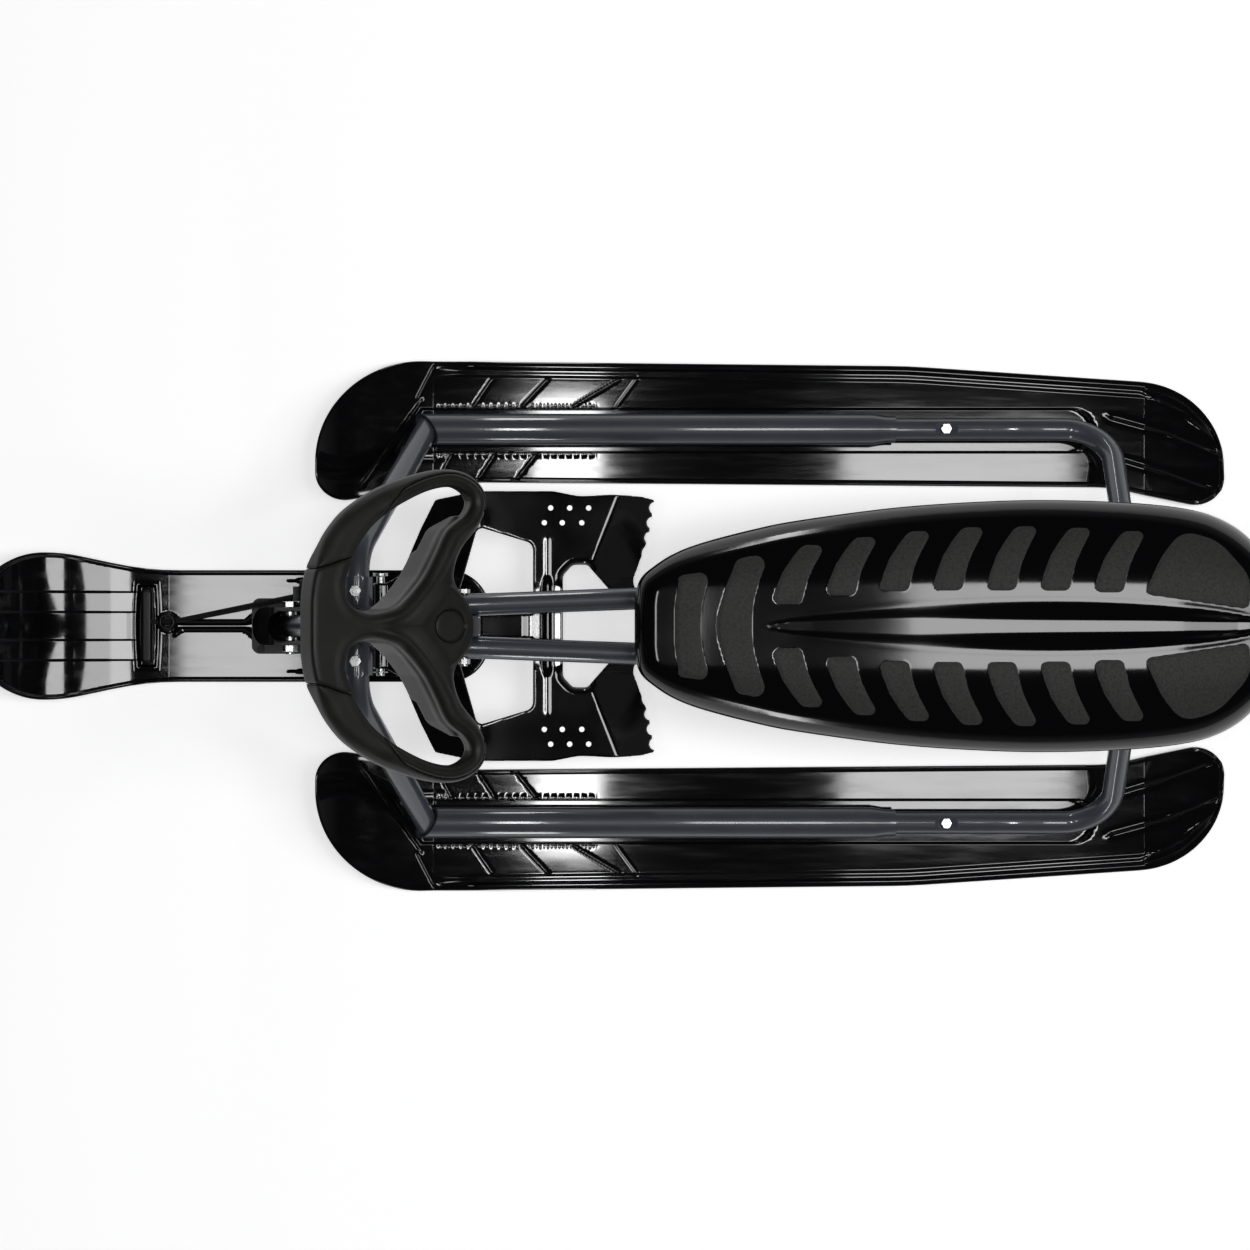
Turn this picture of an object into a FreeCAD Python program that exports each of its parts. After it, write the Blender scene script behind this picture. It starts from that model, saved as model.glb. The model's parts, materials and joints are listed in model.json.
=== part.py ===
import FreeCAD, Part
import math
import os

V = FreeCAD.Vector

# Steering sled. +X is the way it travels, +Y its left side, +Z up. The origin is on the ground,
# in the middle of its length and width. All sizes are in millimetres and degrees.

# Clearances, and a reach past every piece for cuts that go right through
RUNNING_GAP = 0.05
PART_GAP = 0.4
THROUGH = 400.0

# Steering axis: it leans back from the pitch pivot of the front ski
PIVOT_X = 303.5
PIVOT_Z = 75.0
RAKE = 57.3
SHAFT_R = 10.0
SHAFT_WALL = 3.0
SHAFT_FOOT = 13.0
SHAFT_PLUG = 12.0
SHAFT_TOP_DOWN = 16.0
COLLAR_R = 15.0
COLLAR_HEIGHT = 8.0

# Rear skis
SKI_NOSE_X = 281.0
SKI_TAIL_X = -593.0
SKI_OUTER_Y = 257.5
SKI_INNER_Y = 138.0
SKI_BASE = 7.0
SKI_DECK = 5.0
SKI_RIM = 4.0
SKI_RIM_WIDTH = 6.0
SKI_LEDGE_WIDTH = 8.4
SKI_NOSE_BEND_X = 165.0
SKI_NOSE_TURN = 42.4
SKI_TAIL_BEND_X = -520.0
SKI_TAIL_TURN = 33.57
SKI_NOSE_ROUND = 100.0
SKI_NOSE_FLARE = 22.0
SKI_NOSE_BOW = 1.0
SKI_TAIL_ROUND = 84.0
SKI_TAIL_FLARE = 28.0
SKI_TAIL_LEAN = 3.0
SKI_LOBE_ROUND = 26.0
SKI_TAPER_X = -290.0
SKI_TAPER = 25.0
SKI_SIDE_BOW = 5.0
SKI_SIDE_R = 600.0
SKI_WAIST_X = 150.0
SKI_WAIST_IN = 1.5
SKI_WAIST_R = 300.0
SKI_HIP_BACK = 106.0
SKI_HIP_OUT = 3.5
SKI_HIP_R = 140.0
CHANNEL_WIDTH = 42.0
CHANNEL_REAR_X = -470.0
CHANNEL_ROUND = 12.0
STEP_WIDTH = 2.5
STEP_DEPTH = 2.0
TAIL_RIB_WIDTH = 4.0
SOLE_GROOVE = 3.0
SOLE_GROOVE_ROUND = 10.0
SOLE_GROOVE_FRONT = 15.0
SOLE_GROOVE_REAR = 30.0
SADDLE_LENGTH = 28.0
SADDLE_WRAP = 4.0
SADDLE_INSET = 2.0
SWAGE_SADDLE = 40.0
# Ends of the moulded steps on the deck: distance along the sled, distance from its middle
FOLD_LINES = [((170, 252), (186, 220)), ((182, 219), (239, 134))]
STEP_LINES = [((105, 252), (127, 220)), ((49, 251), (82, 216)), ((-29, 251), (30, 216)),
              ((152, 168), (160, 153)), ((110, 168), (124, 147)), ((70, 168), (88, 145))]
TAIL_RIBS = [((-491, 205), (-588, 171)), ((-497, 166), (-590, 134))]
SOLE_GROOVES = [(158, 186), (206, 236)]

# Painted tube frame
TUBE_WALL = 2.0
SKI_TUBE_Y = 190.0
SKI_TUBE_Z = 32.0
SKI_TUBE_R = 15.0
SWAGE_X = -254.0
SWAGE_LENGTH = 14.0
SWAGE_COLLAR = 8.4
LEG_R = 10.75
LEG_INSERT = 60.0
LEG_X = -483.0
LEG_BEND_R = 46.0
LEG_SHOULDER = 8.0
LEG_PLUG_LENGTH = 32.0
DIMPLE_DEPTH = 3.5
DIMPLE_R = 20.0
ARCH_R = 11.3
ARCH_FOOT_X = 176.0
ARCH_CROWN_Y = 67.0
ARCH_CROWN_X = 230.0
ARCH_CROWN_Z = 195.0
ARCH_BEND_R = 42.0
SPINE_R = 10.2
SPINE_FRONT_X = 208.0
SPINE_FRONT_Y = 16.4
SPINE_FRONT_Z = 194.0
SPINE_SPREAD = 0.038
SPINE_FALL = 0.04
SPINE_JOINT_X = -330.0
SPIGOT_LENGTH = 50.0

# Frame fasteners
FRAME_BOLT_R = 3.0
FRAME_HEAD_R = 5.5
FRAME_HEAD = 4.0
FRAME_NUT = 5.0
ARCH_NUT = 3.0
BOLT_END = 2.0
CROSS_BOLT_XS = (132.0, 185.0)
SKI_BOLT_X = -325.0
SKI_BOLT_HEAD = 3.5
SKI_BOLT_FOOT_Z = 5.0
SKI_SCREW_X = 95.0
SKI_SCREW_R = 2.5
SKI_SCREW_HEAD_R = 5.0
SKI_SCREW_HEAD = 3.0
SKI_SCREW_SINK = 4.0

# Steering head
HEAD_LOW = 100.0
HEAD_HIGH = 190.0
HEAD_R = 18.0
HEAD_BORE_R = 14.0
BUSH_LENGTH = 25.0
BUSH_FLANGE = 4.0
SOCKET_WALL = 3.5
SOCKET_OUT_Y = 45.0
SOCKET_IN_Y = 19.0
LUG_HEIGHT = 26.0
LUG_TAIL_X = 118.0
LUG_ROUND = 3.0
EAR_SHEET = 3.0
EAR_REACH = 9.5
EAR_ROUND = 8.0
EAR_NECK_UP = 12.0
EAR_FRONT_UP = 30.0
EAR_DROP = 18.0
EAR_CORNER = 5.0

# Steering wheel, measured from the steering axis
WHEEL_UP = 303.0
WHEEL_FRONT = 139.0
RIM_R = 13.0
RIM_CORE_R = 6.0
RIM_CORE_IN = 9.0
RIM_HALF = 124.0
RIM_INSET = 17.0
RIM_WIDE_X = 50.0
RIM_FRONT_R = 48.0
RIM_SIDE_R = 90.0
RIM_SHOULDER = 25.0
SEAM_Y = 47.0
HORN_BACK = 27.0
HORN_R = 20.0
HORN_DEPTH = 32.0
HORN_RUN = (16.0, 12.0)
FRONT_FACE = 33.0
SPOKE_HALF = 11.3
WEB_DEPTH = 36.0
WEB_WALL = 13.0
EDGE_ROUND = 6.0
HUB_X = 8.0
HUB_R = 33.0
HUB_FOOT_R = 19.0
HUB_DEPTH = 57.0
HUB_CAP_R = 15.0
HUB_CAP = 5.0
HUB_CAP_SINK = 3.0
HUB_CAP_ROUND = 1.5
WHEEL_BOLT_DOWN = 34.0
# Left half of the wing behind the opening: distance ahead of the axis, distance from the middle, corner round
WING_FRONT = [(62, SPOKE_HALF, 30), (26, 43, 30), (-8, 98)]
WING_REAR = [(-22.7, 75.8), (-9, 54, 20), (-9, 32, 14), (-21, 14, 8)]

# Brake
BRAKE_X = 213.0
BRAKE_Z = 135.0
BRAKE_SHEET = 2.5
BRAKE_HALF = 128.4
FOLD_X = 124.0
FOOT_Z = 85.0
TOOTH_Z = 58.0
TOOTH_PITCH = 14.4
TOOTH_BITE_R = 5.4
TOOTH_BITE_BACK = 1.6
TOOTH_FIRST = 7.9
TOOTH_COUNT = 6
CROSSBAR_FRONT_X = 72.0
CROSSBAR_REAR_X = 43.5
BEAD_X = 58.0
BEAD_HALF = 84.0
BEAD_R = 4.0
BEAD_SINK = 2.0
PIP_R = 3.6
PIP_SINK = 1.4
WINDOW_FRONT_X = 141.0
WINDOW_HALF = 94.0
WINDOW_REAR_HALF = 78.0
WINDOW_ROUND = 8.0
HOLE_HALF = 52.0
TONGUE_HALF = 12.0
TONGUE_FRONT_X = 145.0
BRAKE_PIN_R = 4.0
PIN_HEAD = 3.0
PIN_HEAD_OUT = 3.0
PIN_END = 6.0
CLIP_SHEET = 1.2
CLIP_OUT = 2.0
CLIP_MOUTH = 5.0
KNUCKLE_R = 7.0
KNUCKLE_IN_Y = 20.0
KNUCKLE_OUT_Y = 40.0
# Places in plan on the left half: distance along the sled, distance from its middle
PANEL_OUTER = [(163, 119), (176, 92), (194, 48)]
FOOT_INNER = [(30, 65, 10)]
FOOT_OUTER = [(28, 123.5, 30), (54, BRAKE_HALF, 30)]
FLANGE_OUTER = [(-30, 124, 8)]
FLANGE_INNER = [(1, 36, 4)]
PIP_PLACES = [(55, 112), (37, 112), (19, 112), (61, 98), (44, 98), (25.5, 98)]
REAR_FOLD = [(-6, 116), (15, 62)]
TOOTH_LINE = [(-44, 121), (-30, 34)]
SPRING_TURNS = 6
SPRING_WIRE_R = 0.9
SPRING_R = 6.4
SPRING_PITCH = 2.6
SPRING_LEG = 42.0
SPRING_HEAD_LEG = 14.0

# Seat
SEAT_NOSE_X = -24.0
SEAT_TAIL_X = -600.5
SEAT_HALF = 114.2
SEAT_CROWN = 60.0
SEAT_BOTTOM_Z = 200.0
SEAT_TUCK = 4.0
SEAT_WALL = 4.0
SEAT_BASE_SHEET = 4.0
GROOVE_HALF = 22.0
GROOVE_DEPTH = 4.5
GROOVE_FRONT_X = -140.0
GROOVE_TAIL = 12.0
SEAT_BRACKET_XS = (-110.0, -400.0)
SEAT_BRACKET_LENGTH = 34.0
SEAT_BRACKET_SIDE = 8.0
SEAT_BRACKET_TOP = 5.0
SEAT_BRACKET_WALL = 4.0
SEAT_BRACKET_FLARE = 6.0
SEAT_BRACKET_DROP = 2.0
SEAT_BRACKET_ROUND = 3.0
SEAT_SCREW_Y = 8.0
SEAT_SCREW_R = 2.5
SEAT_SCREW_HEAD_R = 4.5
SEAT_SCREW_HEAD = 3.0
SEAT_SCREW_END = 5.0
# The seat's swell from nose to tail, as shares of its length, half-width and crown
SEAT_STATIONS = [(0, 0.23, 0.37), (0.009, 0.37, 0.57), (0.024, 0.445, 0.70), (0.059, 0.57, 0.82),
                 (0.104, 0.675, 0.88),
                 (0.182, 0.767, 0.917), (0.26, 0.845, 0.917), (0.418, 0.949, 0.867), (0.574, 1.0, 0.85),
                 (0.732, 1.0, 0.9), (0.81, 0.977, 0.967), (0.912, 0.902, 1.0), (0.952, 0.78, 0.967),
                 (0.982, 0.605, 0.867), (0.994, 0.447, 0.75), (1.0, 0.263, 0.6)]

# Front ski
NOSE_X = 600.5
FRONT_TAIL_X = 116.0
FRONT_HALF = 54.4
FRONT_NOSE_HALF = 71.0
FRONT_TAIL_ROUND = 40.0
FRONT_NOSE_ROUND = 58.0
FLARE_X = 450.0
FLARE_R = 300.0
FLARE_END_X = 526.0
FLARE_END_R = 130.0
FRONT_BASE = 8.0
FRONT_BEND_X = 430.0
FRONT_NOSE_TURN = 47.3
FRONT_RIM = 3.0
RIB_HALF = 4.4
RIB_HEIGHT = 4.0
RAIL_Y = 44.0
RAIL_HALF = 3.0
RAIL_BACK = 40.0
RAIL_AHEAD = 8.0
KEEL_HALF = 6.0
KEEL_BACK = 30.0
KEEL_FRONT = 20.0
FRONT_GROOVE = (8.0, 36.0)
HANDLE_X = 449.0
HANDLE_LENGTH = 72.0
HANDLE_WIDTH = 11.0
HANDLE_HEIGHT = 11.0
HANDLE_CORNER = 5.0
HANDLE_ROUND = 3.0
SLOT_LENGTH = 78.0
SLOT_WIDTH = 15.5
SLOT_CORNER = 6.0
SLOT_FLOOR = 3.0
LEAD_HALF = 6.0

# Tow rope and its eyelet
ROPE_R = 2.5
ROPE_LIFT = 3.0
ROPE_EXIT_Y = -4.0
ROPE_BEND_R = 20.0
ROPE_IN_HANDLE = 1.0
EYELET_BACK = 20.0
EYELET_R = 9.0
EYELET_TOP = 6.0
EYELET_ROUND = 3.0
EYELET_LEAD = 4.0

# Bracket on the front ski
BRACKET_HALF = 18.0
BRACKET_GAP_HALF = 14.0
BRACKET_FRONT_X = 345.0
BRACKET_REAR_X = 262.0
BRACKET_NOSE_Z = 24.0
BRACKET_TAIL_Z = 38.0
BRACKET_TOP_UP = 14.0
BRACKET_TOP_AHEAD = 18.0
BRACKET_TOP_BACK = 16.0
BRACKET_ROUND = 16.0
BRACKET_CORNER = 8.0
BRACKET_MOUTH = 20.0
FLANGE_SHEET = 5.0
FLANGE_HALF = 27.0
FLANGE_BACK = 12.0
FLANGE_FRONT = 2.0
FLANGE_STEP = 14.0
BOLT_R = 4.0
PIVOT_HEAD_R = 7.5
PIVOT_HEAD = 5.5
PIVOT_NUT = 6.5
PIVOT_END = 2.5
SPACER_WALL = 3.5
SCREW_R = 2.0
SCREW_HEAD_R = 4.0
SCREW_HEAD = 2.5
SCREW_SINK = 4.0
SCREW_PLACES = [(338, 22), (338, -22), (256, 22), (256, -15)]

# Rope reel on the bracket's right side
REEL_X = 262.0
REEL_Z = 62.0
REEL_R = 34.0
REEL_WIDTH = 26.0
REEL_WALL = 2.5
REEL_SCREW_R = 36.0
REEL_SCREW_ANGLES = (100.0, 220.0, 320.0)
REEL_BOSS_R = 5.5
REEL_THREAD_R = 1.5
REEL_THREAD = 10.0
REEL_HEAD_R = 3.2
REEL_HEAD = 2.0
SNOUT_HALF = 7.0
SNOUT_BACK = 14.0
SNOUT_FRONT = 7.0
SNOUT_DROP = 16.0
SNOUT_IN = 6.0
SNOUT_BORE_GAP = 1.0
SPOOL_CLEAR = 1.5
SPOOL_CORE_R = 13.0
SPOOL_FLANGE = 2.0
SPOOL_GAP = 1.0
AXLE_R = 4.0
WOUND_R = 24.0
SPRING_ROOM = 8.0
SPRING_ROOM_WALL = 2.0
SPIRAL_WIDTH = 7.0

# Sizes that follow from these
SKI_STACK = SKI_BASE + SKI_DECK + SKI_RIM
SKI_NOSE_BEND_R = (SKI_NOSE_X - SKI_NOSE_BEND_X) / math.sin(math.radians(SKI_NOSE_TURN))
SKI_TAIL_BEND_R = (SKI_TAIL_BEND_X - SKI_TAIL_X) / math.sin(math.radians(SKI_TAIL_TURN))
FRONT_BEND_R = (NOSE_X - FRONT_BEND_X) / math.sin(math.radians(FRONT_NOSE_TURN))
EAR_IN_Y = KNUCKLE_IN_Y - PART_GAP - EAR_SHEET
EYELET_X = HANDLE_X - EYELET_BACK
SPOOL_R = REEL_R - REEL_WALL - SPOOL_CLEAR


# Small tools
def unit(a):
    return a * (1.0 / a.Length)


def rounded(points, closed=True):
    # Straight runs joined by tangent arcs. Each point is (vector, corner radius).
    count = len(points)
    corners = []
    for i, (p, r) in enumerate(points):
        if not closed and i in (0, count - 1) or r <= 0:
            corners.append((p, p, None))
            continue
        back = unit(points[i - 1][0] - p)
        ahead = unit(points[(i + 1) % count][0] - p)
        half = back.getAngle(ahead) / 2
        reach = r / math.tan(half)
        middle = p + unit(back + ahead) * (r / math.sin(half) - r)
        corners.append((p + back * reach, p + ahead * reach, middle))
    edges = []
    for i, (start, end, middle) in enumerate(corners):
        if middle is not None:
            edges.append(Part.Arc(start, middle, end).toShape())
        if i == count - 1 and not closed:
            break
        following = corners[(i + 1) % count][0]
        if (following - end).Length > 1e-6:
            edges.append(Part.LineSegment(end, following).toShape())
    return Part.Wire(edges)


def flat(points, z=0.0):
    return Part.Face(rounded([(V(p[0], p[1], z), p[2] if len(p) > 2 else 0) for p in points]))


def prism(points, low, high):
    return flat(points, low).extrude(V(0, 0, high - low))


def side_prism(points, low, high):
    # A shape drawn in X and Z, standing from one Y to another
    face = Part.Face(rounded([(V(p[0], low, p[1]), p[2] if len(p) > 2 else 0) for p in points]))
    return face.extrude(V(0, high - low, 0))


def rod(start, end, radius):
    return Part.makeCylinder(radius, (end - start).Length, start, end - start)


def box(low, high):
    size = high - low
    return Part.makeBox(size.x, size.y, size.z, low)


def pipe(path, radius):
    first = path.Edges[0]
    start = first.valueAt(first.FirstParameter)
    along = first.tangentAt(first.FirstParameter)
    ring = Part.Wire([Part.makeCircle(radius, start, along)])
    return path.makePipeShell([ring], True, False)


def tube(path, radius, wall=TUBE_WALL):
    return pipe(path, radius).cut(pipe(path, radius - wall))


def half_space(point, normal, reach=3000.0):
    # The block on the side that the normal points to
    block = Part.makeBox(reach, reach, reach, V(-reach / 2, -reach / 2, 0))
    turn = FreeCAD.Rotation(V(0, 0, 1), normal)
    block.Placement = FreeCAD.Placement(point, turn)
    return block


def slab(point, normal, thickness, reach=1500.0):
    block = Part.makeBox(reach, reach, thickness, V(-reach / 2, -reach / 2, 0))
    block.Placement = FreeCAD.Placement(point, FreeCAD.Rotation(V(0, 0, 1), normal))
    return block


def mirrored(shape):
    return shape.mirror(V(0, 0, 0), V(0, 1, 0))


def on_axis(shape):
    # From the steering axis's own frame: z along the axis from the pivot, x ahead, y to the left
    moved = shape.copy()
    turn = FreeCAD.Rotation(V(0, 1, 0), RAKE - 90)
    moved.Placement = FreeCAD.Placement(V(PIVOT_X, 0, PIVOT_Z), turn).multiply(moved.Placement)
    return moved


def axis_x(z):
    return PIVOT_X - (z - PIVOT_Z) / math.tan(math.radians(RAKE))


def fused(shapes):
    whole = shapes[0]
    if len(shapes) > 1:
        whole = whole.fuse(shapes[1:])
    return whole.removeSplitter()


def hex_bolt(point, along, shank_r, length, head_r, head_height):
    # A shank from the point, with its six-sided head behind it
    turn = FreeCAD.Rotation(V(0, 0, 1), along)
    corners = [V(head_r * math.cos(i * math.pi / 3), head_r * math.sin(i * math.pi / 3), 0) for i in range(6)]
    head = Part.Face(Part.makePolygon(corners + corners[:1])).extrude(V(0, 0, -head_height))
    whole = Part.makeCylinder(shank_r, length).fuse(head)
    whole.Placement = FreeCAD.Placement(point, turn)
    return whole.removeSplitter()


def hex_nut(point, along, bore_r, outer_r, height):
    turn = FreeCAD.Rotation(V(0, 0, 1), along)
    corners = [V(outer_r * math.cos(i * math.pi / 3), outer_r * math.sin(i * math.pi / 3), 0) for i in range(6)]
    nut = Part.Face(Part.makePolygon(corners + corners[:1])).extrude(V(0, 0, height))
    nut = nut.cut(Part.makeCylinder(bore_r, height))
    nut.Placement = FreeCAD.Placement(point, turn)
    return nut


os.makedirs("parts", exist_ok=True)


def save(name, shape):
    shape.exportStep("parts/" + name + ".step")


def save_pair(name, shape):
    save(name + "_left", shape)
    save(name + "_right", mirrored(shape))


# Rear skis, drawn as the left one and mirrored
def ski_outline():
    return [(SKI_NOSE_X, SKI_INNER_Y - SKI_NOSE_FLARE, SKI_LOBE_ROUND),
            (SKI_NOSE_X, SKI_OUTER_Y + SKI_NOSE_BOW, SKI_NOSE_ROUND),
            (SKI_TAPER_X, SKI_OUTER_Y - SKI_SIDE_BOW, SKI_SIDE_R),
            (SKI_TAIL_X + SKI_TAIL_LEAN, SKI_OUTER_Y - SKI_TAPER, SKI_TAIL_ROUND),
            (SKI_TAIL_X, SKI_INNER_Y - SKI_TAIL_FLARE, SKI_LOBE_ROUND),
            (SKI_TAIL_X + SKI_HIP_BACK, SKI_INNER_Y - SKI_HIP_OUT, SKI_HIP_R),
            (SKI_WAIST_X, SKI_INNER_Y + SKI_WAIST_IN, SKI_WAIST_R)]


def ski_end(bend_x, bend_r, tip_x, height):
    # Foot, middle and tip of the arc that turns the ski up, at one height above the sole
    way = 1 if tip_x > bend_x else -1
    sweep = math.asin((abs(tip_x - bend_x) + SKI_TAIL_LEAN) / (bend_r - SKI_STACK))
    r = bend_r - height
    return [V(bend_x + way * r * math.sin(a), 0, bend_r - r * math.cos(a)) for a in (0, sweep / 2, sweep)]


def ski_ribbon(low, high):
    # The ski's side view between two heights above its sole, right across the sled's left side
    edges = []
    nose = {h: ski_end(SKI_NOSE_BEND_X, SKI_NOSE_BEND_R, SKI_NOSE_X, h) for h in (low, high)}
    tail = {h: ski_end(SKI_TAIL_BEND_X, SKI_TAIL_BEND_R, SKI_TAIL_X, h) for h in (low, high)}
    for h in (low, high):
        edges.append(Part.Arc(*nose[h]).toShape())
        edges.append(Part.LineSegment(nose[h][0], tail[h][0]).toShape())
        edges.append(Part.Arc(*tail[h]).toShape())
    edges.append(Part.LineSegment(nose[low][2], nose[high][2]).toShape())
    edges.append(Part.LineSegment(tail[low][2], tail[high][2]).toShape())
    face = Part.Face(Part.Wire(Part.__sortEdges__(edges)))
    return face.extrude(V(0, THROUGH, 0))


def band(line, width):
    # A straight strip in plan, with its width to both sides of the line
    (x0, y0), (x1, y1) = line
    along = unit(V(x1 - x0, y1 - y0, 0))
    side = V(-along.y, along.x, 0) * (width / 2)
    a, b = V(x0, y0, 0), V(x1, y1, 0)
    return [(p.x, p.y) for p in (a + side, b + side, b - side, a - side)]


def rear_ski():
    plan = flat(ski_outline())
    rim_inside = plan.makeOffset2D(-SKI_RIM_WIDTH)
    ledge_inside = plan.makeOffset2D(-SKI_RIM_WIDTH - SKI_LEDGE_WIDTH)
    up = V(0, 0, THROUGH)
    deck_h = SKI_BASE + SKI_DECK
    base = ski_ribbon(0, deck_h).common(plan.extrude(up))
    rim = ski_ribbon(deck_h, SKI_STACK).common(plan.cut(rim_inside).extrude(up))
    ledge = ski_ribbon(deck_h, deck_h + SKI_RIM / 3).common(rim_inside.cut(ledge_inside).extrude(up))
    ribs = [ski_ribbon(deck_h, deck_h + STEP_DEPTH).common(prism(band(line, TAIL_RIB_WIDTH), 0, THROUGH))
            for line in TAIL_RIBS]
    in_y, out_y = SKI_TUBE_Y - CHANNEL_WIDTH / 2, SKI_TUBE_Y + CHANNEL_WIDTH / 2
    (fold_out, _), (fold_in, _) = FOLD_LINES[1]
    channel = prism([(CHANNEL_REAR_X, in_y, CHANNEL_ROUND), (CHANNEL_REAR_X, out_y, CHANNEL_ROUND),
                     (fold_out, out_y), ((fold_out + fold_in) / 2, in_y)], 0, THROUGH)
    above = SKI_STACK + STEP_DEPTH
    cuts = [ski_ribbon(SKI_BASE, above).common(channel)]
    for line in FOLD_LINES + STEP_LINES:
        cuts.append(ski_ribbon(deck_h - STEP_DEPTH, above).common(prism(band(line, STEP_WIDTH), 0, THROUGH)))
    for near, far in SOLE_GROOVES:
        front, rear = SKI_NOSE_BEND_X - SOLE_GROOVE_FRONT, SKI_TAIL_BEND_X + SOLE_GROOVE_REAR
        run = [(front, near, SOLE_GROOVE_ROUND), (front, far, SOLE_GROOVE_ROUND),
               (rear, far, SOLE_GROOVE_ROUND), (rear, near, SOLE_GROOVE_ROUND)]
        cuts.append(prism(run, 0, SOLE_GROOVE))
    ski = fused([base, rim, ledge] + ribs).cut(cuts)
    saddles = []
    for x in (SKI_SCREW_X, (SKI_SCREW_X + SWAGE_X) / 2, SWAGE_X + SWAGE_SADDLE, SKI_BOLT_X):
        saddles.append(box(V(x - SADDLE_LENGTH / 2, in_y + SADDLE_INSET, SKI_BASE),
                           V(x + SADDLE_LENGTH / 2, out_y - SADDLE_INSET, SKI_TUBE_Z - SADDLE_WRAP)))
    leg = rod(V(LEG_X + LEG_BEND_R, SKI_TUBE_Y, SKI_TUBE_Z), V(SWAGE_X, SKI_TUBE_Y, SKI_TUBE_Z),
              LEG_R + RUNNING_GAP)
    ski = fused([ski] + saddles).cut([ski_tube_core(RUNNING_GAP), leg])
    return ski.cut([ski_bolt(PART_GAP / 2), ski_screw(PART_GAP / 2)])


def ski_tube_core(grow=0.0):
    # The thick tube's outside, from its mitre to its swaged end
    front, rear = ARCH_FOOT_X + 2 * SKI_TUBE_R, SWAGE_X
    end = rear - SWAGE_LENGTH - SWAGE_COLLAR
    r, s = SKI_TUBE_R + grow, LEG_R + TUBE_WALL + grow
    profile = [V(front, 0, 0), V(front, r, 0), V(rear, r, 0), V(rear - SWAGE_LENGTH, s, 0), V(end, s, 0),
               V(end, 0, 0)]
    solid = Part.Face(Part.makePolygon(profile + profile[:1])).revolve(V(0, 0, 0), V(1, 0, 0), 360)
    solid.translate(V(0, SKI_TUBE_Y, SKI_TUBE_Z))
    return solid


def arch_foot():
    return V(ARCH_FOOT_X, SKI_TUBE_Y, SKI_TUBE_Z)


def mitre_normal():
    rise = unit(V(ARCH_CROWN_X, ARCH_CROWN_Y, ARCH_CROWN_Z) - arch_foot())
    return unit(rise + V(1, 0, 0))


def ski_bolt(grow=0.0):
    # The visible bolt through the flattened leg
    head_z = SKI_TUBE_Z + LEG_R - DIMPLE_DEPTH
    return hex_bolt(V(SKI_BOLT_X, SKI_TUBE_Y, head_z), V(0, 0, -1), FRAME_BOLT_R + grow,
                    head_z - SKI_BOLT_FOOT_Z, FRAME_HEAD_R + grow, SKI_BOLT_HEAD)


def ski_screw(grow=0.0):
    # Countersunk from the sole into the thick tube's underside
    point = V(SKI_SCREW_X, SKI_TUBE_Y, SKI_SCREW_SINK)
    tip = V(SKI_SCREW_X, SKI_TUBE_Y, SKI_TUBE_Z - SKI_TUBE_R + TUBE_WALL + SKI_SCREW_SINK)
    shank = rod(point, tip, SKI_SCREW_R + grow)
    head = Part.makeCone(SKI_SCREW_HEAD_R + grow, SKI_SCREW_R + grow, SKI_SCREW_HEAD, point)
    return shank.fuse(head).removeSplitter()


def ski_tube():
    outside = ski_tube_core()
    front = V(ARCH_FOOT_X + 3 * SKI_TUBE_R, SKI_TUBE_Y, SKI_TUBE_Z)
    inside = rod(V(SWAGE_X - LEG_INSERT, SKI_TUBE_Y, SKI_TUBE_Z), front, LEG_R + RUNNING_GAP)
    wide = rod(V(SWAGE_X, SKI_TUBE_Y, SKI_TUBE_Z), front, SKI_TUBE_R - TUBE_WALL)
    hollow = outside.cut([inside, wide])
    return hollow.cut([half_space(arch_foot(), mitre_normal()), ski_screw(PART_GAP / 2)])


def arch_path():
    crown = V(ARCH_CROWN_X, ARCH_CROWN_Y, ARCH_CROWN_Z)
    rise = unit(crown - arch_foot())
    return rounded([(arch_foot() - rise * SKI_TUBE_R * 2, 0), (crown, ARCH_BEND_R),
                    (V(ARCH_CROWN_X, SOCKET_IN_Y + TUBE_WALL, ARCH_CROWN_Z), 0)], closed=False)


def arch_bolt(grow=0.0):
    # Down through the socket and the arch tube inside it
    top = ARCH_CROWN_Z + ARCH_R + SOCKET_WALL
    return hex_bolt(V(ARCH_CROWN_X, (SOCKET_IN_Y + SOCKET_OUT_Y) / 2, top), V(0, 0, -1),
                    FRAME_BOLT_R + grow, 2 * (ARCH_R + SOCKET_WALL) + ARCH_NUT, FRAME_HEAD_R, FRAME_HEAD)


def front_arch():
    mitre = half_space(arch_foot(), mitre_normal() * -1)
    return tube(arch_path(), ARCH_R).cut([mitre, arch_bolt(PART_GAP / 2)])


def spine_point(x):
    back = SPINE_FRONT_X - x
    return V(x, SPINE_FRONT_Y + SPINE_SPREAD * back, SPINE_FRONT_Z - SPINE_FALL * back)


def cross_bolt(x, grow=0.0):
    # Across both spine tubes and the lug between them
    p = spine_point(x)
    reach = p.y + SPINE_R + PART_GAP
    return hex_bolt(V(x, -reach, p.z), V(0, 1, 0), FRAME_BOLT_R + grow, 2 * reach + FRAME_NUT + BOLT_END,
                    FRAME_HEAD_R, FRAME_HEAD)


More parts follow.
